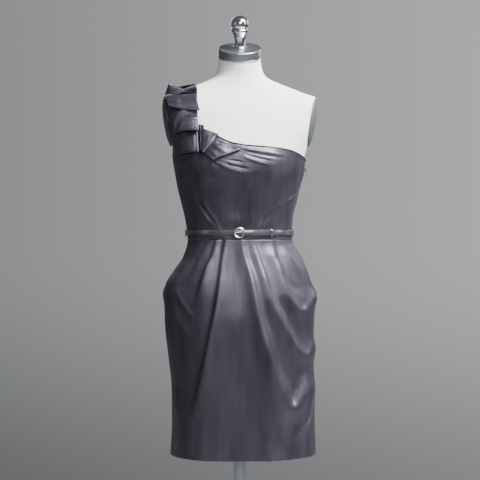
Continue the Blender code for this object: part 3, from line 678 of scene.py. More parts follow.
# %% [markdown]
# ## From tables to surfaces
# Every surface here is a grid of points. A sheet of cloth gets a real thickness behind its outer
# face, a lathe part is a grid that wraps round, and a cord is a bevelled line. Building them all
# the same way keeps the seams of the real garment where the solids have them.

# %% Making meshes from grids of points
def link(name, mesh, finish):
    mesh.materials.append(finish)
    made = bpy.data.objects.new(name, mesh)
    bpy.context.scene.collection.objects.link(made)
    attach(made, BODY)
    return made


def grid_mesh(name, grid, wrap=False, caps=False):
    """Quads over a grid, joined round where it wraps, its first and last rows filled by caps.

    The UV map holds lengths in metres along the cloth, so that a weave has its true scale.
    """
    rows, columns = grid.shape[:2]
    index = np.arange(rows * columns).reshape(rows, columns)
    laid = grid * MM
    if wrap:
        index = np.concatenate([index, index[:, :1]], axis=1)
        laid = np.concatenate([laid, laid[:, :1]], axis=1)
    across = np.cumsum(np.linalg.norm(np.diff(laid, axis=1, prepend=laid[:, :1]), axis=-1), axis=1)
    upward = np.cumsum(np.linalg.norm(np.diff(laid, axis=0, prepend=laid[:1]), axis=-1), axis=0)
    across -= across[:, across.shape[1] // 2][:, None]
    lengths = np.stack([across, upward], axis=-1)
    order = [(0, 0), (1, 0), (1, 1), (0, 1)]
    tall, wide = index.shape
    parts = [(slice(a, tall - 1 + a), slice(b, wide - 1 + b)) for a, b in order]
    quads = np.stack([index[part] for part in parts], axis=-1).reshape(-1, 4)
    spread = np.stack([lengths[part] for part in parts], axis=2).reshape(-1, 2)
    faces = [tuple(int(corner) for corner in quad) for quad in quads]
    if caps:
        faces.append(tuple(range(columns)))
        faces.append(tuple(range((rows - 1) * columns, rows * columns))[::-1])
        spread = np.concatenate([spread, np.zeros((2 * columns, 2))])
    mesh = bpy.data.meshes.new(name)
    mesh.from_pydata((grid.reshape(-1, 3) * MM).tolist(), [], faces)
    mesh.uv_layers.new(name="lengths").data.foreach_set("uv", spread.ravel())
    mesh.shade_smooth()
    return mesh


def facing_out(mesh):
    form = bmesh.new()
    form.from_mesh(mesh)
    bmesh.ops.recalc_face_normals(form, faces=form.faces)
    form.to_mesh(mesh)
    form.free()
    mesh.set_sharp_from_angle(angle=math.radians(38))
    return mesh


def cloth_shell(name, grid, thickness, finish):
    """A sheet whose outer face is the grid, with a real thickness behind it."""
    made = link(name, grid_mesh(name, grid), finish)
    wall = made.modifiers.new("thickness", "SOLIDIFY")
    wall.thickness = thickness * MM
    wall.offset = -1
    return made


def turned(name, profile, sides, finish, foot=(0, 0, 0), lean=0.0):
    """A lathe shape from (radius, height) rows, leaned forward about its foot."""
    angle = np.linspace(0, 2 * math.pi, sides, endpoint=False)
    tilt = math.radians(lean)
    radius, height = np.array(profile, float).T[:, :, None]
    x = radius * np.cos(angle) + foot[0]
    y = radius * np.sin(angle) * math.cos(tilt) - height * math.sin(tilt) + foot[1]
    z = radius * np.sin(angle) * math.sin(tilt) + height * math.cos(tilt) + foot[2]
    mesh = grid_mesh(name, np.stack([x, y, z + 0 * x], axis=-1), wrap=True, caps=True)
    return link(name, facing_out(mesh), finish)


def rod(name, route, radius, finish, sides=8, closed=False):
    """A round wire or thread along a route of points."""
    curve = bpy.data.curves.new(name, "CURVE")
    curve.dimensions = "3D"
    spline = curve.splines.new("POLY")
    spline.points.add(len(route) - 1)
    for point, place in zip(spline.points, route):
        point.co = (*(np.array(place) * MM), 1)
    spline.use_cyclic_u = closed
    curve.bevel_depth = radius * MM
    curve.bevel_resolution = sides // 4
    curve.use_fill_caps = True
    curve.materials.append(finish)
    made = bpy.data.objects.new(name, curve)
    bpy.context.scene.collection.objects.link(made)
    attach(made, BODY)
    return made


# %% [markdown]
# ## The dress form
# The torso is one moulded shell under stretched linen, so it is drawn as a single smooth loft,
# finer than its solid. The armholes are cut flat by two leaning planes. The linen is sewn from
# panels. Its seams down the centre front, over the wearer's left bust and round the neck are laid
# on as thin cords, because a seam in the surface colour alone would vanish in side light.

# %% Torso
TORSO_BOTTOM = 690.0
TORSO_TOP = 1493.0
ARMHOLE_OUT = 178.0
ARMHOLE_LEVEL = 1320.0
ARMHOLE_FOOT = 1200.0


def armhole_plane(side):
    """A point of the plane and its outward direction, leaning a little forward and down."""
    outward = np.array([side * 1.0, -0.14, -0.16])
    return np.array([side * ARMHOLE_OUT, 0.0, ARMHOLE_LEVEL]), outward / np.linalg.norm(outward)


def make_torso():
    below_bust = np.arange(TORSO_BOTTOM, 1240, 9.0)
    chest = np.arange(1240, 1380, 5.0)
    shoulders = np.arange(1380, TORSO_TOP + 1, 2.0)
    heights = np.concatenate([below_bust, chest, shoulders, [TORSO_TOP]])
    turns = np.linspace(0, 2 * math.pi, 144, endpoint=False)
    rings = FORM.points(turns[None, :], heights[:, None])
    mesh = grid_mesh("torso", rings, wrap=True, caps=True)
    form = bmesh.new()
    form.from_mesh(mesh)
    for side in (-1, 1):
        point, outward = armhole_plane(side)
        faces = [face for face in form.faces if face.calc_center_median().z > ARMHOLE_FOOT * MM]
        # These dicts keep the order in which they are filled, so that each run cuts the same mesh.
        edges = dict.fromkeys(edge for face in faces for edge in face.edges)
        corners = dict.fromkeys(corner for face in faces for corner in face.verts)
        cut = bmesh.ops.bisect_plane(
            form, geom=[*corners, *edges, *faces], plane_co=point * MM, plane_no=outward, clear_outer=True
        )
        rim = [item for item in cut["geom_cut"] if isinstance(item, bmesh.types.BMEdge)]
        bmesh.ops.holes_fill(form, edges=rim)
    form.to_mesh(mesh)
    form.free()
    made = link("torso", facing_out(mesh), LINEN)
    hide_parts("form_torso")
    return made


torso = make_torso()
print("torso faces:", len(torso.data.polygons))


# %% Seams of the linen
def front_line(places, lift):
    """Points on the front of the torso through (X, height) places, lifted off the linen."""
    x, z = np.array(places, float).T
    steps = np.linspace(0, 1, len(x))
    share = np.linspace(0, 1, 60)
    x = read_smoothly(steps, x, share)
    z = read_smoothly(steps, z, share)
    lean = np.tan(np.radians(FORM.column(6, z)))
    y = FORM.face_y(x, z, -1)
    return [(a, b - lift, c + b * d) for a, b, c, d in zip(x, y, z, lean)]


def seam_cord(name, places):
    return rod(name, front_line(places, 0.1), 0.55, LINEN)


LINEN_SEAMS = {
    "seam_centre_front": [(0, 1258), (0, 1300), (0, 1360), (0, 1420), (0, 1440), (0, 1490)],
    "seam_princess_left": [(104, 1268), (108, 1310), (112, 1350), (106, 1392)],
    "seam_neck": [(-64, 1440), (-50, 1426), (-28, 1419), (0, 1417), (28, 1419), (50, 1426), (64, 1440)],
}
for name, places in LINEN_SEAMS.items():
    seam_cord(name, places)
print("linen seams:", list(LINEN_SEAMS))

# %% [markdown]
# The two armhole plates are pressed discs. Each has a flat rim, a small step and a low dome, and
# is drawn as rings that rise while they shrink towards its middle.


# %% Armhole plates
def make_arm_plate(node, side):
    """A domed oval inside the armhole's cut, as wide and tall as its solid."""
    outward = armhole_plane(side)[1]
    upward = np.array([0, 0, 1.0]) - outward * outward[2]
    upward /= np.linalg.norm(upward)
    forward = np.cross(upward, outward)
    solid = bpy.data.objects[node]
    corners = np.array([solid.matrix_world @ corner.co for corner in solid.data.vertices]) / MM
    reach = np.stack([corners @ forward, corners @ upward, corners @ outward])
    low, high = reach.min(1), reach.max(1)
    centre = forward * (low[0] + high[0]) / 2 + upward * (low[1] + high[1]) / 2 + outward * low[2]
    half = (high - low) / 2
    angle = np.linspace(0, 2 * math.pi, 96, endpoint=False)
    steps = [
        (0.96, 0.0), (0.985, 0.3), (1.0, 1.1), (1.0, 2.1), (0.985, 3.2), (0.955, 4.2), (0.92, 4.5),
        (0.90, 4.7), (0.86, 5.7), (0.74, 7.6), (0.58, 8.9), (0.40, 9.7), (0.22, 10.0), (0.05, 10.1),
    ]
    rings = []
    for share, rise in steps:
        ring = centre + outward * rise + share * half[0] * np.cos(angle)[:, None] * forward
        rings.append(ring + share * half[1] * np.sin(angle)[:, None] * upward)
    mesh = grid_mesh(node + "_fine", np.array(rings), wrap=True, caps=True)
    made = link(node + "_fine", facing_out(mesh), PLATE_GREY)
    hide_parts(node)
    return made


plates = [make_arm_plate("form_arm_plate_right", -1), make_arm_plate("form_arm_plate_left", 1)]
print("armhole plates:", [plate.name for plate in plates])

# %% [markdown]
# The neck is closed by a spun metal cap, brushed round its side, with a turned and polished finial
# screwed into it. Both lean forward with the neck. The lathe profiles list radius and height from
# the foot upwards, with two close points wherever an edge should catch a line of light.

# %% Neck cap and finial
NECK_LEAN = 25.0
SEAM_GAP = 0.3
neck_top = FORM_SECTIONS[-1]
neck_middle = (neck_top.back - neck_top.front) / 2
tilt = math.radians(NECK_LEAN)
neck_foot = np.array([0.0, neck_middle, neck_top.height + neck_middle * math.tan(tilt)])
neck_axis = np.array([0, -math.sin(tilt), math.cos(tilt)])

CAP_PROFILE = [
    (52.6, 0.3), (53.6, 0.6), (54.0, 1.4), (54.0, 2.6), (53.5, 3.0), (53.5, 3.6), (54.0, 4.0), (54.0, 20.2),
    (53.8, 21.4), (53.2, 22.3), (52.2, 22.8), (50.5, 22.9), (49.5, 22.6), (30, 22.9), (22, 23.2), (14, 23.6),
]
cap = turned("neck_cap", CAP_PROFILE, 128, BRUSHED, neck_foot, NECK_LEAN)
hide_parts("form_neck_cap")

FINIAL_PROFILE = [
    (16.2, 0), (17, 0.6), (17, 2.2), (16.4, 3.0), (14.6, 4.4), (14, 6), (13.9, 20), (14.2, 24), (14.9, 28.5),
    (15.8, 32), (17.4, 36), (19.6, 40), (20.9, 42.2), (21.5, 44), (21.5, 46), (20.9, 47.6), (19.4, 49.0),
    (18.5, 50.2), (18.5, 51.0), (20.2, 52.8), (21.7, 55.2), (22.4, 58.2), (22.3, 61.5), (21.6, 65.4),
    (20.2, 68.8), (18.2, 71.5), (15.5, 74), (12, 76.2), (8, 78.0), (4, 79.1), (1, 79.5),
]
finial_foot = neck_foot + neck_axis * (23.6 + SEAM_GAP)
finial = turned("finial", FINIAL_PROFILE, 96, SILVER, finial_foot, NECK_LEAN)
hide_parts("form_finial")
print("finial's foot:", finial_foot.round(1), "mm")

# %% Pole and base
POLE_RADIUS = 15.0
BASE_RADIUS = 190.0

pole_profile = [(14.4, 12.3), (POLE_RADIUS, 13), (POLE_RADIUS, 689.1), (14.4, 689.7)]
pole = turned("pole", pole_profile, 72, BRUSHED)
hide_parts("form_pole")

hole = POLE_RADIUS + SEAM_GAP
BASE_PROFILE = [
    (hole, 12), (hole, 79.4), (15.9, 80), (21.6, 80), (23.2, 79.2), (24, 77.8), (24, 36.5), (24.6, 33),
    (26.6, 30), (30, 28.2), (36, 27), (60, 24), (90, 21.7), (120, 19), (146, 16.2), (170, 13), (182, 10.8),
    (187, 9.2), (189.2, 7.4), (BASE_RADIUS, 5), (189.4, 2.2), (188, 0),
]
base = turned("base", BASE_PROFILE, 160, PAINTED_IRON)
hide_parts("form_base")
print("form pieces:", [made.name for made in (torso, cap, finial, pole, base)])

# %% [markdown]
# ## The skirt
# The front skirt is one wide panel, pleated into the waist seam. The pleats lean outwards and
# die out lower down, and three on the wearer's left swing round to the side seam as cowls. At the
# pocket mouths the panel's side edges stand off the hips. The first table holds where each fold
# runs on the front, in millimetres. A second one holds small creases between the folds, which no
# pattern asks for but all satin has.

# %% Skirt tables
HEM = 501.5
WAIST = 1033.0
SEAM_TURN = math.radians(0.12)
CLOTH = 1.1

SKIRT_FOLDS = [
    Fold("left_outer", [(-72, 1034), (-94, 992), (-116, 951), (-136, 928)], 8, (1.6, 4), (16, 26), 0.5, 0.5),
    Fold(
        "left_middle", [(-57, 1034), (-66, 997), (-77, 973), (-94, 926), (-106, 887), (-116, 852)],
        11, (1.6, 4.5), (14, 34), 0.5, 0.5,
    ),
    Fold(
        "left_long",
        [(-36, 1034), (-43, 990), (-57, 884), (-74, 798), (-95, 693), (-116, 614), (-131, 543), (-138, 500)],
        15, (1.6, 5), (26, 60), 0.4, 0.6,
    ),
    Fold(
        "right_long",
        [(10, 1034), (17, 994), (30, 951), (49, 865), (71, 777), (84, 727), (104, 681), (125, 638),
         (137, 655), (153, 694), (172, 730)],
        22, (2.4, 9), (26, 40), 0.4, 0.85,
    ),
    Fold(
        "right_cowl_low",
        [(34, 1034), (41, 1009), (57, 962), (71, 918), (84, 880), (101, 846), (120, 808), (145, 768),
         (158, 759), (177, 784), (188, 800)],
        17, (2.8, 9), (22, 26), 0.45, 0.9,
    ),
    Fold(
        "right_cowl_high",
        [(80, 1034), (86, 994), (96, 972), (104, 945), (118, 907), (131, 885), (151, 866), (170, 886),
         (188, 910)],
        14, (2.8, 8), (18, 20), 0.4, 0.9,
    ),
    Fold("right_side", [(104, 1030), (122, 997), (144, 968), (168, 937)], 4, (2.4, 6), (16, 20), 0.3, 0.5),
]

SKIRT_CREASES = [
    Crease((60, 860), (72, 650), (86, 430), 11, 22),
    Crease((173, 705), (167, 620), (150, 535), 3.6, 7),
    Crease((169, 628), (150, 576), (122, 544), 3.2, 7),
    Crease((-46, 560), (-38, 530), (-34, 496), 1.0, 10),
    Crease((-24, 552), (-20, 528), (-24, 498), -0.8, 8),
    Crease((8, 560), (14, 530), (22, 498), 0.9, 11),
    Crease((-160, 925), (-140, 872), (-108, 840), 2.0, 7),
    Crease((-170, 880), (-145, 815), (-110, 790), 1.6, 9),
    Crease((-176, 800), (-150, 700), (-150, 610), -1.5, 14),
    Crease((-20, 960), (0, 850), (6, 740), 1.6, 16),
    Crease((-30, 760), (-20, 660), (-44, 560), -1.6, 18),
    Crease((96, 960), (122, 915), (160, 905), -1.6, 8),
    Crease((92, 560), (100, 530), (112, 505), 1.2, 10),
]
print(len(SKIRT_FOLDS), "pleats,", len(SKIRT_CREASES), "creases")


# %% Panels between two edges
def panel(turns, low, high, rows, folds=(), creases=(), lift=None):
    share = np.linspace(0, 1, rows)[:, None]
    turns, heights = np.broadcast_arrays(turns, low + (high - low) * share)
    points = DRESS.points(turns, heights)
    from_seam = np.arccos(np.clip(np.abs(np.cos(turns)), 0, 1))
    rise = raised(points, folds, creases) * (0.3 + 0.7 * smooth_step(from_seam / math.radians(16)))
    if lift is not None:
        rise = rise + lift(turns, heights)
    return points + DRESS.outward(turns, heights) * rise[..., None]


def even_turns(first, last, count):
    """Turns that part the hip's outline into equal lengths, so the grid is as fine at the sides."""
    tried = np.linspace(first, last, 2000)
    hip = DRESS.points(tried, 860.0)
    gone = np.concatenate([[0], np.cumsum(np.linalg.norm(np.diff(hip, axis=0), axis=1))])
    return np.interp(np.linspace(0, gone[-1], count), gone, tried)


def front_turns(count):
    return even_turns(SEAM_TURN, math.pi - SEAM_TURN, count)


def back_turns(count):
    return even_turns(math.pi + SEAM_TURN, 2 * math.pi - SEAM_TURN, count)


POCKET_LEVEL = 900.0
POCKET_GAPE = 5.0


def pocket_gape(turns, heights):
    """The pocket mouths: the front skirt's side edges stand off the hips."""
    level = np.exp(-(((heights - POCKET_LEVEL) / 20) ** 2))
    from_seam = np.minimum(turns, math.pi - turns)
    return POCKET_GAPE * level * np.exp(-from_seam / math.radians(14))


def front_hang(turns, heights):
    """Low uneven waves between the pleats, deeper towards the hem."""
    down = smooth_step((WAIST - heights) / 300)
    slow = np.sin(5.3 * turns + heights / 190) * 0.9 + np.sin(11.7 * turns - heights / 120) * 0.45
    return pocket_gape(turns, heights) + down * slow * np.sin(turns) ** 0.5


skirt_grid = panel(
    front_turns(168)[None, :], HEM, WAIST - SEAM_GAP / 2, 250, SKIRT_FOLDS, SKIRT_CREASES, front_hang
)
skirt_front = cloth_shell("front_skirt", skirt_grid, CLOTH, SATIN)
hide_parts("skirt_front")
print("front skirt grid:", skirt_grid.shape)

# %% [markdown]
# The back skirt is out of the photo's sight. It is a plain panel that hangs from the waist in soft
# upright waves, with a few slack creases under the seat so that it is as much satin as the front.

# %% Back skirt
BACK_CREASES = [
    Crease((-90, 960), (-30, 925), (40, 940), -2.0, 12),
    Crease((-60, 915), (10, 890), (90, 915), 1.8, 11),
    Crease((-110, 840), (-80, 700), (-96, 560), 2.2, 16),
    Crease((30, 860), (46, 700), (34, 540), -2.4, 18),
    Crease((120, 820), (104, 690), (118, 560), 2.0, 14),
    Crease((-24, 780), (-30, 650), (-16, 520), 1.8, 15),
]


def back_hang(turns, heights):
    """Soft upright waves, uneven in width, that start below the seat."""
    down = smooth_step((WAIST - heights) / 260)
    wave = 2.5 * np.cos(7 * turns) + 0.9 * np.sin(10.6 * turns + heights / 150)
    return down * wave * np.sin(turns) ** 2


skirt_back_grid = panel(
    back_turns(120)[None, :], HEM, WAIST - SEAM_GAP / 2, 130, (), BACK_CREASES, back_hang
)
skirt_back = cloth_shell("back_skirt", skirt_back_grid, CLOTH, SATIN)
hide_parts("skirt_back")
print("back skirt grid:", skirt_back_grid.shape)


# %% Pocket facings
FACING_HALF = 34.0


def make_pocket(node, seam, way):
    """A facing that reaches from under the back skirt's edge forward behind the mouth."""
    share = np.linspace(0, 1, 24)[None, :]
    turns = seam + way * np.radians(0.15 + 13.85 * share)
    levels = np.linspace(POCKET_LEVEL - FACING_HALF, POCKET_LEVEL + FACING_HALF, 36)
    turns, heights = np.broadcast_arrays(turns, levels[:, None])
    slack = 0.5 * np.sin(heights / 9.0) * share
    sink = 2.5 + 6 * share + slack
    grid = DRESS.points(turns, heights) - DRESS.outward(turns, heights) * sink[..., None]
    # The facing is in the darker satin: painted shade inside the pocket mouth.
    made = cloth_shell(node + "_facing", grid[:, ::way], 0.8, SATIN_PAINTED_SHADE)
    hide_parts(node)
    return made


pocket_right = make_pocket("pocket_right", math.pi, -1)
pocket_left = make_pocket("pocket_left", 0.0, 1)
print("pocket facings:", pocket_right.name, pocket_left.name)

# %% [markdown]
# ## The bodice
# The one-shoulder neckline climbs from the wearer's left underarm to the strap. The tables give the
# height of the top edge at each turn round the body, in degrees. Gathers run out from under the
# lowest flap, and soft folds and creases run up from the two waist darts.

# %% Bodice tables
STRAP_SEAM = 1325.0

FRONT_TOP = [
    (0, 1229), (12, 1233), (34, 1244), (46, 1250), (67, 1256), (84, 1259.5), (93, 1265), (100, 1275),
    (107, 1289), (115, 1302), (121.5, 1325), (155, 1325), (159, 1300), (165, 1262), (172, 1245), (180, 1240),
]
BACK_TOP = [
    (180, 1240), (188, 1245), (195, 1262), (201, 1300), (205, 1325), (237, 1325), (245, 1306), (258, 1288),
    (275, 1272), (300, 1256), (330, 1240), (360, 1229),
]

BODICE_FOLDS = [
    Fold("gather_high", [(-8, 1256), (26, 1248), (70, 1244), (112, 1239)], 1.4, (1.6, 2), (9, 9), 1, 0.5),
    Fold("gather_middle", [(-50, 1224), (-22, 1219), (4, 1214), (30, 1211)], 1.8, (1.6, 2), (9, 9), 1, 0.5),
    Fold("gather_low", [(-52, 1214), (-28, 1205), (0, 1196), (36, 1190)], 1.7, (1.6, 2), (9, 9), 1, 0.5),
    Fold("dart_left", [(-50, 1066), (-62, 1088), (-78, 1112), (-92, 1136)], 1.8, (1.6, 3), (14, 14), 1, 0.5),
    Fold("dart_right", [(46, 1066), (58, 1088), (74, 1112), (88, 1134)], 1.8, (1.6, 3), (14, 14), 1, 0.5),
]

BODICE_CREASES = [
    Crease((-2, 1254), (52, 1243), (126, 1236), 1.2, 2.8),
    Crease((2, 1248), (50, 1234), (118, 1229), -1.2, 2.6),
    Crease((4, 1242), (40, 1228), (92, 1219), -1.4, 2.6),
    Crease((2, 1236), (34, 1220), (80, 1211), 1.2, 3.2),
    Crease((-47, 1226), (-14, 1224), (24, 1214), -1.5, 2.4),
    Crease((-30, 1217), (-10, 1214), (12, 1208), 1.8, 2.6),
    Crease((-36, 1216), (-6, 1208), (30, 1200), -1.4, 2.6),
    Crease((-48, 1214), (-22, 1198), (26, 1188), 1.2, 3.6),
    Crease((-148, 1234), (-132, 1230), (-112, 1237), -2.0, 3.2),
    Crease((-146, 1223), (-130, 1219), (-110, 1226), 1.8, 3.4),
    Crease((-144, 1208), (-126, 1202), (-108, 1206), -1.8, 3.4),
    Crease((-142, 1196), (-126, 1190), (-112, 1196), 1.5, 3.8),
    Crease((-138, 1180), (-124, 1175), (-110, 1180), -1.5, 4.0),
    Crease((116, 1124), (132, 1136), (148, 1150), 2.0, 4.0),
    Crease((120, 1112), (134, 1122), (146, 1134), -1.6, 4.5),
    Crease((-112, 1142), (-84, 1100), (-52, 1062), -1.8, 4.2),
    Crease((-122, 1128), (-98, 1096), (-66, 1060), -1.5, 4.6),
    Crease((-104, 1118), (-84, 1090), (-60, 1060), 1.4, 5.0),
    Crease((96, 1132), (76, 1100), (50, 1062), -1.6, 5.0),
    Crease((100, 1126), (88, 1112), (72, 1096), 1.6, 6.0),
    Crease((-20, 1180), (-6, 1120), (-14, 1070), -1.0, 12),
]


def top_edge(rows, turns):
    rows = np.array(rows, float)
    return read_smoothly(rows[:, 0], rows[:, 1], np.degrees(turns))


def bodice_slack(turns, heights):
    """The cloth is a little loose under the arms and over the midriff."""
    low = smooth_step((heights - 1062) / 30) * smooth_step((1235 - heights) / 40)
    return 0.5 * low * (np.sin(9 * turns + heights / 17) + np.sin(heights / 23 - 4 * turns))


turns = front_turns(150)
bodice_low = WAIST + SEAM_GAP / 2
bodice_grid = panel(
    turns[None, :], bodice_low, top_edge(FRONT_TOP, turns)[None, :] - SEAM_GAP / 2, 110,
    BODICE_FOLDS, BODICE_CREASES, bodice_slack,
)
bodice_front = cloth_shell("front_bodice", bodice_grid, CLOTH, SATIN)
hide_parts("bodice_front")

turns = back_turns(110)
bodice_back_grid = panel(
    turns[None, :], bodice_low, top_edge(BACK_TOP, turns)[None, :] - SEAM_GAP / 2, 70, lift=bodice_slack
)
bodice_back = cloth_shell("back_bodice", bodice_back_grid, CLOTH, SATIN)
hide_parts("bodice_back")
print("bodice grids:", bodice_grid.shape, bodice_back_grid.shape)

# %% [markdown]
# ## The strap and its flaps
# The strap is a wide band over the wearer's right shoulder. Eight squares of satin are folded
# double and sewn along it and along the neckline, so each flap has a soft rounded fold at its free
# edge and a second layer behind its face. A flap's row gives the two ends of its sewn line and of
# its fold: X, height, and how far the outer face stands off the cloth there.

# %% Strap
STRAP_EDGES = [(0.0, 172, 103), (0.25, 184, 104), (0.5, 191, 111), (0.75, 180, 104), (1.0, 169, 103)]

edges = np.array(STRAP_EDGES)
share = np.linspace(0, 1, 90)
outer = read_smoothly(edges[:, 0], edges[:, 1], share)
inner = read_smoothly(edges[:, 0], edges[:, 2], share)
distance = inner[:, None] + (outer - inner)[:, None] * np.linspace(0, 1, 36)
strap_low = STRAP_SEAM + SEAM_GAP / 2
height = strap_low + (DRESS.crest(distance) - strap_low) * np.sin(share * math.pi)[:, None]
square = DRESS.column(5, height)
room = np.clip(1 - (distance / DRESS.column(1, height)) ** square, 0, 1) ** (1 / square)
y = np.where(share[:, None] > 0.5, DRESS.column(4, height), -DRESS.column(3, height)) * room
strap_grid = np.stack([-distance, y, height], axis=-1)
strap = cloth_shell("strap", strap_grid, CLOTH, SATIN)
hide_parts("shoulder_strap")
print("strap grid:", strap_grid.shape)

# %% Flap tables
Flap = namedtuple("Flap", "name root_outer root_inner edge_outer edge_inner billow")

FLAPS = [
    Flap("ruffle_flap_1", (-187, 1394, 8), (-107, 1396, 4.5), (-177, 1420, 18), (-104, 1403, 16), 2),
    Flap("ruffle_flap_2", (-184, 1386, 6), (-109, 1391, 7), (-175, 1362, 12), (-97, 1349, 11.5), 2),
    Flap("ruffle_flap_3", (-172, 1362, 3.3), (-104, 1360, 3.3), (-166, 1292, 15), (-98, 1298, 14), 6),
    Flap("ruffle_flap_4", (-163, 1304, 6), (-103, 1308, 4), (-165, 1239, 14), (-99, 1246, 12), 3),
    Flap("ruffle_flap_5", (-86, 1309, 7), (-86, 1250, 7), (-95, 1312, 4.5), (-95, 1243, 4.5), 0),
    Flap("ruffle_flap_6", (-84, 1300, 5), (-50, 1287, 6), (-92, 1247, 11.2), (-86, 1242, 14), 2),
    Flap("ruffle_flap_7", (-88, 1243, 4), (-51, 1279, 3.6), (-65, 1224, 10), (1, 1250, 5), 3),
]
REAR_FLAP = Flap(
    "ruffle_flap_0", (-182, 1393, 6), (-109, 1416, 6), (-172, 1414, 13), (-113, 1426, 16), 2
)

# Creases of each flap, placed by share along its sewn line and share of the way down to its fold.
FLAP_CREASES = {
    "ruffle_flap_0": [Crease((0.2, 0.1), (0.4, 0.5), (0.5, 1.0), 0.8, 0.10)],
    "ruffle_flap_1": [
        Crease((0.1, 0.4), (0.5, 0.7), (0.95, 0.6), 0.9, 0.12),
        Crease((0.7, 0.0), (0.6, 0.5), (0.75, 1.0), -0.8, 0.10),
    ],
    "ruffle_flap_2": [
        Crease((0.1, 0.3), (0.45, 0.7), (0.95, 0.6), 1.2, 0.14),
        Crease((0.55, 0.0), (0.42, 0.4), (0.5, 0.95), -1.0, 0.10),
    ],
    "ruffle_flap_3": [
        Crease((0.02, 0.98), (0.14, 0.02), (1.10, 0.10), 3.6, 0.07),
        Crease((0.14, 1.02), (0.30, 0.24), (1.10, 0.34), -2.8, 0.06),
        Crease((0.26, 1.02), (0.42, 0.42), (1.10, 0.56), 2.6, 0.06),
    ],
    "ruffle_flap_4": [
        Crease((0.80, 0.05), (0.86, 0.5), (0.84, 0.98), 1.2, 0.06),
        Crease((0.05, 0.85), (0.5, 0.9), (0.9, 0.85), 0.9, 0.10),
    ],
    "ruffle_flap_5": [],
    "ruffle_flap_6": [
        Crease((0.75, 0.0), (0.80, 0.5), (0.85, 0.95), 0.9, 0.10),
        Crease((0.2, 0.1), (0.3, 0.5), (0.4, 0.95), -0.7, 0.12),
    ],
    "ruffle_flap_7": [
        Crease((0.55, 0.0), (0.62, 0.5), (0.55, 0.98), 1.5, 0.09),
        Crease((0.30, 0.05), (0.28, 0.5), (0.20, 0.98), 1.0, 0.08),
        Crease((0.75, 0.05), (0.88, 0.5), (0.92, 0.9), -1.0, 0.07),
    ],
}
print(sum(len(rows) for rows in FLAP_CREASES.values()), "creases on", len(FLAP_CREASES), "flaps")


# %% Folded flaps
EDGE_BOW = {"ruffle_flap_1": 3.5, "ruffle_flap_2": 4.0, "ruffle_flap_3": -3.0, "ruffle_flap_4": -1.5}
FOLD_ROUND = 1.3
FLAP_SATIN = 0.7


def flap_lift(creases, u, v):
    lift = np.zeros(u.shape)
    shares = np.stack([u, np.zeros(u.shape), v], axis=-1)
    for crease in creases:
        far, along = to_curve(shares, bent_line(crease, 30))
        ends = smooth_step(along / 0.2) * smooth_step((1 - along) / 0.2)
        lift += crease.height * ends * np.exp(-((far / crease.width) ** 2))
    return lift


def flap_face(flap, u, v, way):
    """The flap's outer face at shares across and down, billowed between its two lines."""
    lines = []
    for outer_end, inner_end in ((flap.root_outer, flap.root_inner), (flap.edge_outer, flap.edge_inner)):
        x, z, lift = (a * (1 - u) + b * u for a, b in zip(outer_end, inner_end))
        lines.append(np.stack([x, DRESS.face_y(x, z, way) + way * lift, z], axis=-1))
    face = lines[0] * (1 - v[..., None]) + lines[1] * v[..., None]
    billow = flap.billow * np.sin(math.pi * u) * np.sin(math.pi * v * 0.85)
    lip = 0.9 * np.exp(-(((v - 0.955) / 0.03) ** 2))
    face[..., 1] += way * (billow + lip + flap_lift(FLAP_CREASES[flap.name], u, v))
    face[..., 2] -= EDGE_BOW.get(flap.name, 0.0) * np.sin(math.pi * u) * v**2
    return face


def make_flap(flap, way=-1):
    """Two layers of satin: down the outer face, round the fold, and back up behind."""
    across = np.linspace(0, 1, 56)
    down = np.concatenate([[0.0, 0.02, 0.05], np.linspace(0.08, 1, 44)])
    u, v = np.meshgrid(across, down)
    outside = flap_face(flap, u, v, way)
    reach = outside[-1] - outside[-6]
    onward = reach / np.linalg.norm(reach, axis=-1, keepdims=True)
    over = np.zeros_like(onward)
    over[..., 1] = way
    over -= onward * (onward * over).sum(-1, keepdims=True)
    over /= np.linalg.norm(over, axis=-1, keepdims=True)
    centre = outside[-1] - over * FOLD_ROUND
    fold = []
    for angle in np.radians([60, 30, 0, -30, -60, -90]):
        fold.append(centre + FOLD_ROUND * (math.sin(angle) * over + math.cos(angle) * onward))
    behind = outside[::-1][1:].copy()
    slack = 2 * FOLD_ROUND + 0.6 * np.sin(math.pi * down[::-1][1:, None]) * np.ones_like(behind[..., 0])
    close = smooth_step(down[::-1][1:, None] / 0.3)
    behind[..., 1] -= way * (1.2 + (slack - 1.2) * close)
    grid = np.concatenate([outside, np.array(fold), behind[:-2]])
    facing = np.cross(grid[1, 1] - grid[1, 0], grid[2, 1] - grid[1, 1])
    if facing[1] * way < 0:
        grid = grid[:, ::-1]
    made = cloth_shell(flap.name + "_folded", grid, FLAP_SATIN, SATIN)
    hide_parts(flap.name)
    return made


flaps = [make_flap(flap) for flap in FLAPS] + [make_flap(REAR_FLAP, way=1)]
print("flaps:", [made.name for made in flaps])

# %% [markdown]
# ## The belt
# One lacquered strip starts at the buckle's bar, runs right round the waist, passes through the
# ring and lies over its own start, where a bright keeper holds its end. The strip is drawn as one
# sweep of a rounded section, so its edges catch the light as a cut and painted edge does.

# %% Belt strip
BELT_LEVEL = 1050.0
BELT_WIDTH = 13.5
BELT_THICK = 1.6
BELT_OFF_CLOTH = 0.8
BELT_EASE = 1.0
BELT_FACE = BELT_OFF_CLOTH + BELT_EASE + BELT_THICK
BELT_STEP_OUT = 2.6
BELT_TAIL_X = 78.0
BUCKLE_X = -1.5
BUCKLE_RING = 11.3


def belt_outside(turns, height, offset):
    """Points off the waist's surface, level with the belt."""
    flat = DRESS.points(turns, BELT_LEVEL)
    outward = DRESS.outward(turns, BELT_LEVEL)
    outward[..., 2] = 0
    outward /= np.linalg.norm(outward, axis=-1, keepdims=True)
    made = flat + outward * np.asarray(offset)[..., None]
    made[..., 2] = height
    return made


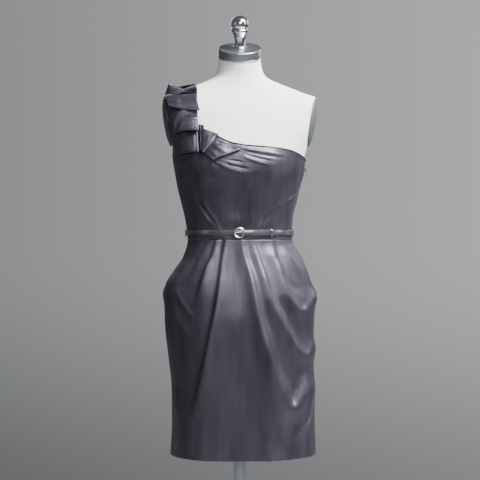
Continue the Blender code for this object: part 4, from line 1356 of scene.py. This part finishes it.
def turn_at(x):
    turns = np.linspace(0, math.pi, 721)
    return float(np.interp(-x, -DRESS.points(turns, BELT_LEVEL)[:, 0], turns))


def rounded_section(width, thickness, corner, steps=3):
    """The outline of a flat strip with rounded edges, as (out, up) pairs."""
    spots = []
    for out, up, first in ((1, 1, 90), (0, 1, 180), (0, -1, 270), (1, -1, 360)):
        centre = (-corner if out else corner - thickness, up * (width / 2 - corner))
        for angle in np.radians(np.linspace(first - 90, first, steps)):
            spots.append((centre[0] + corner * math.cos(angle), centre[1] + corner * math.sin(angle)))
    return spots


first = turn_at(BUCKLE_X + 4)
last = turn_at(BELT_TAIL_X) - 2 * math.pi
turns = np.linspace(first, last, 420)
gone = first - turns
step_out = smooth_step((gone - (2 * math.pi - math.radians(14))) / math.radians(10))
settle = smooth_step((gone - 2 * math.pi) / math.radians(16))
offset = BELT_FACE + BELT_STEP_OUT * step_out - 0.5 * settle
wander = 0.25 * np.sin(3.1 * turns) * (1 - step_out)
rings = []
for out, up in rounded_section(BELT_WIDTH, BELT_THICK, 0.6):
    rings.append(belt_outside(turns, BELT_LEVEL + up + wander, offset + out))
belt_grid = np.stack(rings, axis=1)
belt = link("belt", facing_out(grid_mesh("belt", belt_grid, wrap=True, caps=True)), PATENT)
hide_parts("belt_strap")
print("belt grid:", belt_grid.shape)

# %% Punched holes
waist_front = float(DRESS.points(turn_at(BUCKLE_X), BELT_LEVEL)[1])
HOLE_PLACES = [-16.5, -26.0, -42.5]
HOLE_RADIUS = 1.7

for number, x in enumerate(HOLE_PLACES):
    spot = belt_outside(np.array(turn_at(x)), BELT_LEVEL, np.array(BELT_FACE))
    angle = np.linspace(0, 2 * math.pi, 24, endpoint=False)
    circle = [
        (spot[0] + HOLE_RADIUS * math.cos(a), spot[1] - 0.05, BELT_LEVEL + HOLE_RADIUS * math.sin(a))
        for a in angle
    ]
    rod(f"belt_hole_rim_{number}", circle, 0.28, PATENT, closed=True)
    # A disc of the darker satin fills each hole: painted shade for the view through it.
    through = [(spot[0], spot[1] + depth, BELT_LEVEL) for depth in (-0.15, 0.4)]
    rod(f"belt_hole_{number}", through, HOLE_RADIUS, SATIN_PAINTED_SHADE, sides=12)
print("punched holes:", len(HOLE_PLACES))

# %% Buckle ring, bar and prong
RING_OFF_WAIST = 7.0
BAR_OFF_WAIST = 2.1
BAR_RADIUS = 0.8
PRONG_OFF_WAIST = 6.7
PRONG_RADIUS = 0.85
PRONG_REACH = 9.4
RING_WIRE = (2.1, 1.4)

ring_y = waist_front - RING_OFF_WAIST
angle = np.linspace(0, 2 * math.pi, 96, endpoint=False)
section = np.linspace(0, 2 * math.pi, 20, endpoint=False)
sideways = np.stack([np.cos(angle), 0 * angle, np.sin(angle)], axis=-1)
centre = sideways * BUCKLE_RING + np.array([BUCKLE_X, ring_y, BELT_LEVEL])
grid = centre[:, None] + RING_WIRE[0] * np.cos(section)[None, :, None] * sideways[:, None]
grid = grid + RING_WIRE[1] * np.sin(section)[None, :, None] * np.array([0, -1.0, 0])
closed = np.concatenate([grid, grid[:1]])
ring_mesh = grid_mesh("buckle_ring", closed, wrap=True)
form = bmesh.new()
form.from_mesh(ring_mesh)
bmesh.ops.remove_doubles(form, verts=form.verts, dist=1e-6)
form.to_mesh(ring_mesh)
form.free()
ring = link("buckle_ring", facing_out(ring_mesh), SILVER)

bar_y = waist_front - BAR_OFF_WAIST
bar_half = [(11.3, ring_y), (10.9, ring_y + 1.4), (9.8, ring_y + 3.4), (8.6, bar_y), (4, bar_y)]
bar_route = [(BUCKLE_X, y, BELT_LEVEL + up) for up, y in bar_half]
bar_route += [(BUCKLE_X, y, BELT_LEVEL - up) for up, y in bar_half[::-1]]
bar = rod("buckle_bar", bar_route, BAR_RADIUS, SILVER, sides=12)
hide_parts("belt_buckle")
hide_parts("belt_buckle")

prong_y = waist_front - PRONG_OFF_WAIST
prong_route = [
    (BUCKLE_X + 1.5, prong_y + 0.1, BELT_LEVEL), (BUCKLE_X - 1, prong_y - 0.2, BELT_LEVEL),
    (BUCKLE_X - 5, prong_y - 0.4, BELT_LEVEL), (BUCKLE_X - PRONG_REACH, prong_y - 0.3, BELT_LEVEL),
]
prong = rod("buckle_prong", prong_route, PRONG_RADIUS, SILVER, sides=12)
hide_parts("belt_prong")


# %% Keeper and belt loops
def over_belt(name, node, turn, width, thickness, reach, rise, finish, columns=9):
    """A strip laid over the belt, its two ends turned in to the bodice."""
    step = np.linspace(-0.5, 0.5, columns) * width
    near = DRESS.points(turn + 0.01, BELT_LEVEL) - DRESS.points(turn, BELT_LEVEL)
    step = step / np.linalg.norm(near) * 0.01
    knots = np.array([
        (0.0, thickness + 1.5, rise), (1.0, reach - 1.0, rise - 0.4), (1.4, reach, rise - 1.6),
        (2.4, reach, 0.0), (3.4, reach, 1.6 - rise), (3.8, reach - 1.0, 0.4 - rise),
        (4.8, thickness + 1.5, -rise),
    ])
    walk = np.linspace(0, 4.8, 60)
    out = read_smoothly(knots[:, 0], knots[:, 1], walk)
    level = np.interp(walk, knots[:, 0], knots[:, 2])
    rows = [belt_outside(turn + step, BELT_LEVEL + b, np.full(columns, a)) for a, b in zip(out, level)]
    made = cloth_shell(name, np.stack(rows)[::-1], thickness, finish)
    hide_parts(node)
    return made


KEEPER_X = 75.0
keeper = over_belt("keeper", "belt_keeper", turn_at(KEEPER_X), 6.0, 0.8, 7.6, 8.0, SILVER)
loop_cloth = over_belt(
    "loop_cloth", "belt_loop_right", math.pi - 0.1, 10.2, 1.0, 5.2, 11.5, SATIN, 15
)
over_belt("loop_thread", "belt_loop_left", 0.03, 1.6, 1.0, 5.2, 13.0, THREAD, 5)
print("belt pieces:", belt.name, ring.name, bar.name, prong.name, keeper.name)

# %% [markdown]
# ## Turned edges and seams
# Cut satin frays, so every free edge is turned under. At the neck, the front of the armhole and the
# hem that turn is drawn as a narrow soft roll. The seams are drawn as a roll sunk between two
# panels, which closes the gap that the solids keep there. The rolls at the neck, the armhole, the
# side seams and the waist are in the darker satin, painted shade for the shadow in the turn and
# the seam. The hem rolls are in the plain satin.


# %% Edge rolls
def edge_roll(name, line, radius, finish=SATIN_PAINTED_SHADE):
    return rod(name, [tuple(place) for place in line], radius, finish, sides=8)


def along_seam(turn, low, high, depth, count=160):
    heights = np.linspace(low, high, count)
    turns = np.full(count, turn)
    return DRESS.points(turns, heights) - DRESS.outward(turns, heights) * depth


STRAP_STARTS = 121.5
top_line = bodice_grid[-1]
along_neck = int(np.sum(np.degrees(front_turns(len(top_line))) < STRAP_STARTS))
neck_line = top_line[:along_neck] + np.array([0, -0.2, 0.5])
underarm_line = top_line[along_neck + 29 :] + np.array([0, 0.3, 0])
neck_roll = edge_roll("neckline_roll", neck_line, 1.4)
underarm_roll = edge_roll("armhole_roll_front", underarm_line, 0.7)
hem_roll_front = edge_roll("hem_roll_front", skirt_grid[0] + np.array([0, 0.3, 0.3]), 0.75, SATIN)
hem_roll_back = edge_roll("hem_roll_back", skirt_back_grid[0] + np.array([0, -0.3, 0.3]), 0.75, SATIN)

SEAM_SUNK = 0.9
SEAM_ROLL = 0.8
SEAM_TOPS = {"right": 1238, "left": 1202}

bodice_rolls = []
skirt_rolls = {"upper": [], "lower": []}
for title, turn in (("right", math.pi), ("left", 2 * math.pi)):
    line = along_seam(turn, 1034, SEAM_TOPS[title], SEAM_SUNK)
    bodice_rolls.append(edge_roll(f"bodice_seam_{title}", line, SEAM_ROLL))
    for part, low, high in (("upper", 936, 1031), ("lower", 503, 864)):
        line = along_seam(turn, low, high, SEAM_SUNK)
        skirt_rolls[part].append(edge_roll(f"skirt_seam_{part}_{title}", line, SEAM_ROLL))

all_round = np.linspace(0, 2 * math.pi, 300, endpoint=False)
round_waist = DRESS.points(all_round, WAIST)
waist_out = DRESS.outward(all_round, WAIST)
waist_roll = rod("waist_seam", list(round_waist - waist_out * 1.5), 0.9, SATIN_PAINTED_SHADE, closed=True)
print("side seam rolls:", len(bodice_rolls) + sum(len(rolls) for rolls in skirt_rolls.values()))

# %% [markdown]
# The concealed zip ends at a small slider on the left side seam, with a pull tab that hangs from a
# cross bar. Both are the solids themselves with a plated finish, because the tab must swing with
# its joint exactly as the solid does.

# %% Zip slider and pull
for node in ("zip_slider", "zip_pull"):
    solid = bpy.data.objects[node]
    for place in solid.material_slots:
        place.material = ZIP_METAL
    if not solid.material_slots:
        solid.data.materials.append(ZIP_METAL)
    print(node, "is plated")

# %% [markdown]
# ## What is cloth
# Each sewn piece has a row with the size of the flat piece that shows, in metres, as a cutter would lay it
# out. A curved or tapered cut also has its area. Each sheet's size along its cloth is printed with the share
# of its cut that shows. The thread loop is no sheet: it is a few strands of thread, worked over and sewn at
# both ends.

# %% Flat sizes of the sheets
Cut = namedtuple("Cut", "piece width length area held rests_on with_pieces")
hip_rolls = skirt_rolls["upper"] + skirt_rolls["lower"]

CUTS = [
    Cut(skirt_front, 0.535, 0.55, 0.268, "gathered", (), [hem_roll_front, waist_roll, *hip_rolls]),
    Cut(skirt_back, 0.50, 0.55, 0.252, "hung", (), [hem_roll_back]),
    Cut(
        bodice_front, 0.47, 0.30, 0.102, "stretched", ("torso",), [neck_roll, underarm_roll, *bodice_rolls]
    ),
    Cut(bodice_back, 0.44, 0.30, 0.097, "stretched", ("torso",), []),
    Cut(strap, 0.078, 0.25, None, "draped", ("torso",), []),
    Cut(pocket_right, 0.034, 0.068, None, "hung", (), []),
    Cut(pocket_left, 0.034, 0.068, None, "hung", (), []),
    Cut(loop_cloth, 0.0108, 0.0265, None, "folded", (), []),
]

FLAP_CUTS = {
    "ruffle_flap_0": (0.079, 0.053, 0.0029),
    "ruffle_flap_1": (0.078, 0.064, 0.0040),
    "ruffle_flap_2": (0.088, 0.116, 0.0076),
    "ruffle_flap_3": (0.080, 0.147, 0.0112),
    "ruffle_flap_4": (0.084, 0.139, 0.0110),
    "ruffle_flap_5": (0.070, 0.031, 0.0018),
    "ruffle_flap_6": (0.038, 0.120, 0.0026),
    "ruffle_flap_7": (0.072, 0.123, 0.0056),
}
for flap, made in zip(FLAPS + [REAR_FLAP], flaps):
    CUTS.append(Cut(made, *FLAP_CUTS[flap.name], "folded", (), []))


def shown(piece):
    """Width and length of the sheet along its cloth, and the area of its outer side."""
    lengths = piece.data.uv_layers["lengths"].data
    spread = np.empty(2 * len(lengths))
    lengths.foreach_get("uv", spread)
    across, along = np.ptp(spread.reshape(-1, 2), axis=0)
    return across, along, sum(face.area for face in piece.data.polygons)


def declare(cut):
    extra = {} if cut.area is None else {"area": cut.area}
    if cut.rests_on:
        extra["rests_on"] = list(cut.rests_on)
    if cut.with_pieces:
        extra["with_pieces"] = cut.with_pieces
    across, along, area = shown(cut.piece)
    share = area / (cut.area or cut.width * cut.length)
    print(f"{cut.piece.name}: {across:.4f} by {along:.4f} m, {area:.5f} m2, {share:.2f} of its cut")


for cut in CUTS:
    declare(cut)
